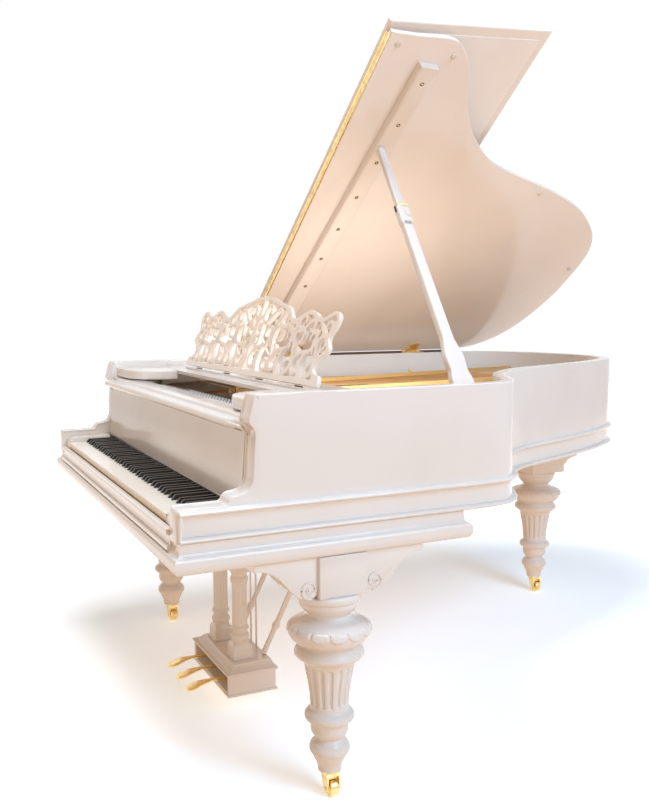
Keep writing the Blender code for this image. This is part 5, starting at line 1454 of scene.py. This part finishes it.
def plate_fittings():
    """The gilt plate: a raised lip along two lines, bolts with washers, felt strips and a turned post."""
    dress("cast_iron_plate", GILT, 0.0022)
    lip = [(-0.0030, -0.0020), (-0.0034, 0.0012), (-0.0020, 0.0030), (0.0010, 0.0034), (0.0040, 0.0024),
           (0.0052, -0.0005)]
    rim = [(-0.0030, -0.0010), (-0.0022, 0.0016), (0, 0.0022), (0.0022, 0.0016), (0.0030, -0.0010)]
    parts = [capped(carry(offset_line(rim_path(front), -inset), np.array(section) + (0, PLATE_TOP)))
             for front, inset, section in ((0.520, 0.0905, lip), (0.290, 0.0610, rim))]
    piece("plate_lip", parts, GILT, "case", 50)
    path = offset_line(rim_path(0.560), -0.0755)
    along = np.concatenate(([0], np.cumsum(np.linalg.norm(np.diff(path, axis=0), axis=1))))
    marks = np.arange(0.10, along[-1], 0.235)
    places = [(np.interp(m, along, path[:, 0]), np.interp(m, along, path[:, 1])) for m in marks]
    places += [(x, 0.440 + FRONT) for x in (-0.640, -0.212, 0.212, 0.640)]
    washer = np.array([(0, 0.0018), (0.0098, 0.0018), (0.0106, 0.0010), (0.0108, -0.0010)]) + (0, PLATE_TOP)
    head = np.array([(0, 0.0086), (0.0054, 0.0086), (0.0068, 0.0072), (0.0070, 0.0014)]) + (0, PLATE_TOP)
    washers = [knob(washer, 24, place) for place in places]
    bolts = [knob(head, 6, place) for place in places]
    piece("plate_washers", washers, GILT, "case", 40)
    piece("plate_bolts", bolts, BRASS, "case", 25)
    low, high = PLATE_TOP + 0.0002, PLATE_TOP + 0.0040
    felts = [block((left, 0.3720 + FRONT, low), (right, 0.4140 + FRONT, high), 0.0012)
             for left, right in ((-0.606, -0.220), (-0.206, 0.604))]
    piece("understring_felt", felts, RED_FELT, "case")
    x, y = PLATE_POST
    post = smooth_line([(0.0, 0.9620), (0.0030, 0.9614), (0.0044, 0.9585), (0.0036, 0.9560),
                        (0.0026, 0.9545), (0.0032, 0.9530), (0.0050, 0.9520), (0.0050, 0.9505),
                        (0.0034, 0.9492), (0.0034, 0.9480), (0.0066, 0.9470), (0.0078, 0.9455),
                        (0.0078, 0.9440)], 4)
    piece("turned_post", [knob(post, 24, (x, y + FRONT))], BRASS, "case", 40)


def belly():
    """The two bridges, with a dark cap along the top of each."""
    dress("long_bridge", MAPLE, 0.0012)
    dress("bass_bridge", MAPLE, 0.0012)
    for name, line, top in (("long", LONG_BRIDGE, 0.9132), ("bass", BASS_BRIDGE, 0.9262)):
        path = smooth_line(line, 8) + (0, FRONT)
        cap = [(-0.0088, top - 0.0028), (-0.0090, top - 0.0008), (-0.0078, top),
               (0.0078, top), (0.0090, top - 0.0008), (0.0088, top - 0.0028)]
        piece(f"{name}_bridge_cap", [capped(carry(path, cap))], OLD_MAPLE, "case", 40)


def hammers():
    """88 felt heads on maple shanks, hinged at their rail under the strings."""
    felt = smooth_line([(-0.0052, -0.0220), (-0.0076, -0.0100), (-0.0098, 0.0040), (-0.0080, 0.0150),
                        (-0.0030, 0.0212), (0.0030, 0.0212), (0.0080, 0.0150), (0.0098, 0.0040),
                        (0.0076, -0.0100), (0.0052, -0.0220)], 2)[::-1]
    wood = np.array([(-0.0030, -0.0270), (0.0030, -0.0270), (0.0040, -0.0100),
                     (0.0026, 0.0080), (-0.0026, 0.0080), (-0.0040, -0.0100)])
    centre = np.array((0.5470 + FRONT, 0.8680))
    heads, shanks, cores = [], [], []
    for x, lean, _, _, bass in notes():
        x = at_y(x, lean, 0.547)
        half = 0.0048 if bass else 0.0042
        heads.append(capped(in_side_view(plate(felt + centre, x - half, x + half, 0.0012, 2))))
        half = half + 0.0001
        cores.append(capped(in_side_view(plate(wood + centre, x - half, x + half, 0.0003, 1))))
        line = [(x, 0.4470 + FRONT, 0.8440), (x, 0.5440 + FRONT, 0.8440)]
        shanks.append(sleeve(tube(line, 0.0026, 8)))
        shanks.append(block((x - 0.0040, 0.4340 + FRONT, 0.8395), (x + 0.0040, 0.4600 + FRONT, 0.8490),
                            0.0008, 1))
    shanks.append(block((-0.6620, 0.4320 + FRONT, 0.8380), (0.6620, 0.4520 + FRONT, 0.8430), 0.0010))
    for x in (-0.645, 0.645):
        shanks.append(block((x - 0.010, 0.4340 + FRONT, 0.6905), (x + 0.010, 0.4500 + FRONT, 0.8400),
                            0.0015))
    piece("hammer_felts", heads, WOOL, "action", 50, ["hammers"])
    piece("hammer_cores", cores, MAPLE, "action", 50)
    piece("hammer_shanks", shanks, MAPLE, "action", 50)


def dampers():
    """Black-topped damper heads on wires that drop beside their strings to the lifting tray."""
    felts, tops, wires = [], [], []
    for number, (x, lean, _, _, bass) in enumerate(notes()):
        if number in (BASS_NOTES, BASS_NOTES - 1) or number > LAST_DAMPED:
            continue
        x = at_y(x, lean, DAMPER_Y)
        low = (BASS_LEVEL if bass else TREBLE_LEVEL) + 0.0024
        y = DAMPER_Y + FRONT
        half = 0.0050
        felts.append(block((x - half, y - 0.0160, low), (x + half, y + 0.0160, low + 0.0070), 0.0012, 2))
        tops.append(block((x - half, y - 0.0155, low + 0.0071), (x + half, y + 0.0155, low + 0.0200),
                          0.0016, 2))
        side = x + (0.0068 if bass else 0.0063)
        wires.append(sleeve(tube([(side, y, 0.8360), (side, y, low + 0.0150)], 0.0008, 6)))
        wires.append(sleeve(tube([(side, y, low + 0.0140), (x + half - 0.001, y, low + 0.0140)], 0.0012, 6)))
    y = DAMPER_Y + FRONT
    tray = block((-0.585, y - 0.008, 0.8300), (0.358, y + 0.008, 0.8420), 0.0012)
    piece("damper_felts", felts, WOOL, "damper_rail", 50, ["dampers"])
    piece("damper_tops", tops, EBONY, "damper_rail", 50)
    piece("damper_wires", wires, STEEL, "damper_rail", 60)
    piece("damper_tray", [tray], MAPLE, "damper_rail", 50)


# The floor, the light and the camera

def mixed_by(tree, chooser, first, second):
    """The first surface, or the second where the chooser is 1."""
    mix = add_node(tree, "ShaderNodeMixShader")
    tree.links.new(chooser, mix.inputs["Fac"])
    tree.links.new(first, mix.inputs[1])
    tree.links.new(second, mix.inputs[2])
    return mix.outputs["Shader"]


def mirrored_or_seen(tree):
    """1 for the rays by which the camera, gloss and glass see a place, 0 for the light that it sends."""
    ray = add_node(tree, "ShaderNodeLightPath")
    chosen = ray.outputs["Is Camera Ray"]
    for kind in ("Is Glossy Ray", "Is Transmission Ray"):
        either = add_node(tree, "ShaderNodeMath", operation="MAXIMUM")
        tree.links.new(chosen, either.inputs[0])
        tree.links.new(ray.outputs[kind], either.inputs[1])
        chosen = either.outputs["Value"]
    return chosen


def plain_light(tree, kind, colour, strength):
    """A light node's surface, from a colour and a strength."""
    node = add_node(tree, kind, Strength=strength)
    node.inputs["Color"].default_value = (*colour, 1)
    return node.outputs[0]


def studio_floor():
    """A white sweep: near the object it keeps the shadow, farther off it glows up to white,
    and the light that it sends back is warm. Gloss and metal show it as the camera does."""
    finish = bpy.data.materials.new("studio_sweep")
    finish.use_nodes = True
    tree = finish.node_tree
    surface = tree.nodes["Principled BSDF"]
    surface.inputs["Base Color"].default_value = (*SWEEP_COLOUR, 1)
    surface.inputs["Roughness"].default_value = 0.9
    surface.inputs["Specular IOR Level"].default_value = 0.0
    place = add_node(tree, "ShaderNodeTexCoord")
    distance = add_node(tree, "ShaderNodeVectorMath", operation="LENGTH")
    tree.links.new(place.outputs["Object"], distance.inputs[0])
    fade = add_node(tree, "ShaderNodeMapRange", interpolation_type="SMOOTHSTEP")
    fade.inputs["From Min"].default_value, fade.inputs["From Max"].default_value = FLOOR_FADE
    tree.links.new(distance.outputs["Value"], fade.inputs["Value"])
    near, far = (plain_light(tree, "ShaderNodeEmission", glow, 1.0) for glow in FLOOR_GLOW)
    sheet = add_node(tree, "ShaderNodeBsdfDiffuse")
    sheet.inputs["Color"].default_value = (*SHEET_COLOUR, 1)
    lit = surface.outputs["BSDF"]
    for more in (sheet.outputs["BSDF"], mixed_by(tree, fade.outputs["Result"], near, far)):
        both = add_node(tree, "ShaderNodeAddShader")
        tree.links.new(lit, both.inputs[0])
        tree.links.new(more, both.inputs[1])
        lit = both.outputs["Shader"]
    bounce = plain_light(tree, "ShaderNodeEmission", *FLOOR_LIGHT)
    look = mixed_by(tree, mirrored_or_seen(tree), bounce, lit)
    tree.links.new(look, tree.nodes["Material Output"].inputs["Surface"])
    mesh = bpy.data.meshes.new("studio_floor")
    corners = [(x * FLOOR_HALF, y * FLOOR_HALF, 0) for x, y in ((-1, -1), (1, -1), (1, 1), (-1, 1))]
    mesh.from_pydata(corners, [], [(0, 1, 2, 3)])
    mesh.materials.append(finish)
    floor = bpy.data.objects.new("studio_floor", mesh)
    bpy.context.scene.collection.objects.link(floor)


def surroundings():
    """White behind the object and in its gloss; warm, dimmer light falls on its surfaces."""
    world = bpy.data.worlds.new("studio_surroundings")
    world.use_nodes = True
    tree = world.node_tree
    tree.nodes.clear()
    fill = plain_light(tree, "ShaderNodeBackground", *AMBIENT)
    seen = plain_light(tree, "ShaderNodeBackground", (1, 1, 1), 1.0)
    fill = mixed_by(tree, mirrored_or_seen(tree), fill, seen)
    out = add_node(tree, "ShaderNodeOutputWorld")
    tree.links.new(fill, out.inputs["Surface"])
    bpy.context.scene.world = world


def lamp(name, place, target, size, power, colour, mirrored_in_gloss):
    """A rectangle of light at a place, turned to its target and unseen by the camera."""
    data = bpy.data.lights.new(name, "AREA")
    data.shape = "RECTANGLE"
    data.size, data.size_y = size
    data.energy = power
    data.color = colour
    obj = bpy.data.objects.new(name, data)
    obj.visible_glossy = mirrored_in_gloss
    obj.visible_camera = False
    bpy.context.scene.collection.objects.link(obj)
    turn = (Vector(target) - Vector(place)).to_track_quat("-Z", "Y")
    obj.matrix_world = Matrix.Translation(place) @ turn.to_matrix().to_4x4()


def lamps():
    """Every lamp of the list."""
    for values in LAMPS:
        lamp(*values)


def camera():
    """The photo's viewpoint: from the front, a little to the treble side."""
    azimuth, pitch, roll = (math.radians(angle) for angle in CAMERA_TURN)
    forward = Vector((-math.sin(azimuth) * math.cos(pitch), math.cos(azimuth) * math.cos(pitch),
                      math.sin(pitch)))
    right = Vector((math.cos(azimuth), math.sin(azimuth), 0))
    up = right.cross(forward)
    across = right * math.cos(roll) + up * math.sin(roll)
    upward = up * math.cos(roll) - right * math.sin(roll)
    data = bpy.data.cameras.new("photo_camera")
    data.sensor_fit = "VERTICAL"
    data.sensor_height = 36.0
    data.lens = CAMERA_LENS
    data.shift_x, data.shift_y = CAMERA_SHIFT
    obj = bpy.data.objects.new("photo_camera", data)
    place = Matrix((across, upward, -forward)).transposed().to_4x4()
    place.translation = CAMERA_PLACE
    obj.matrix_world = place
    bpy.context.scene.collection.objects.link(obj)
    bpy.context.scene.camera = obj


legs()
leg_blocks()
casters()
case()
front_rail()
keybed()
plain_boards()
main_lid()
lid_flap()
flap_hinge()
lid_batten()
lid_hinges()
lid_prop()
fret_panel()
desk_base()
lyre()
keys()
strings()
plate_fittings()
belly()
hammers()
dampers()
studio_floor()
surroundings()
lamps()
camera()
bpy.context.scene.view_settings.view_transform = "Standard"
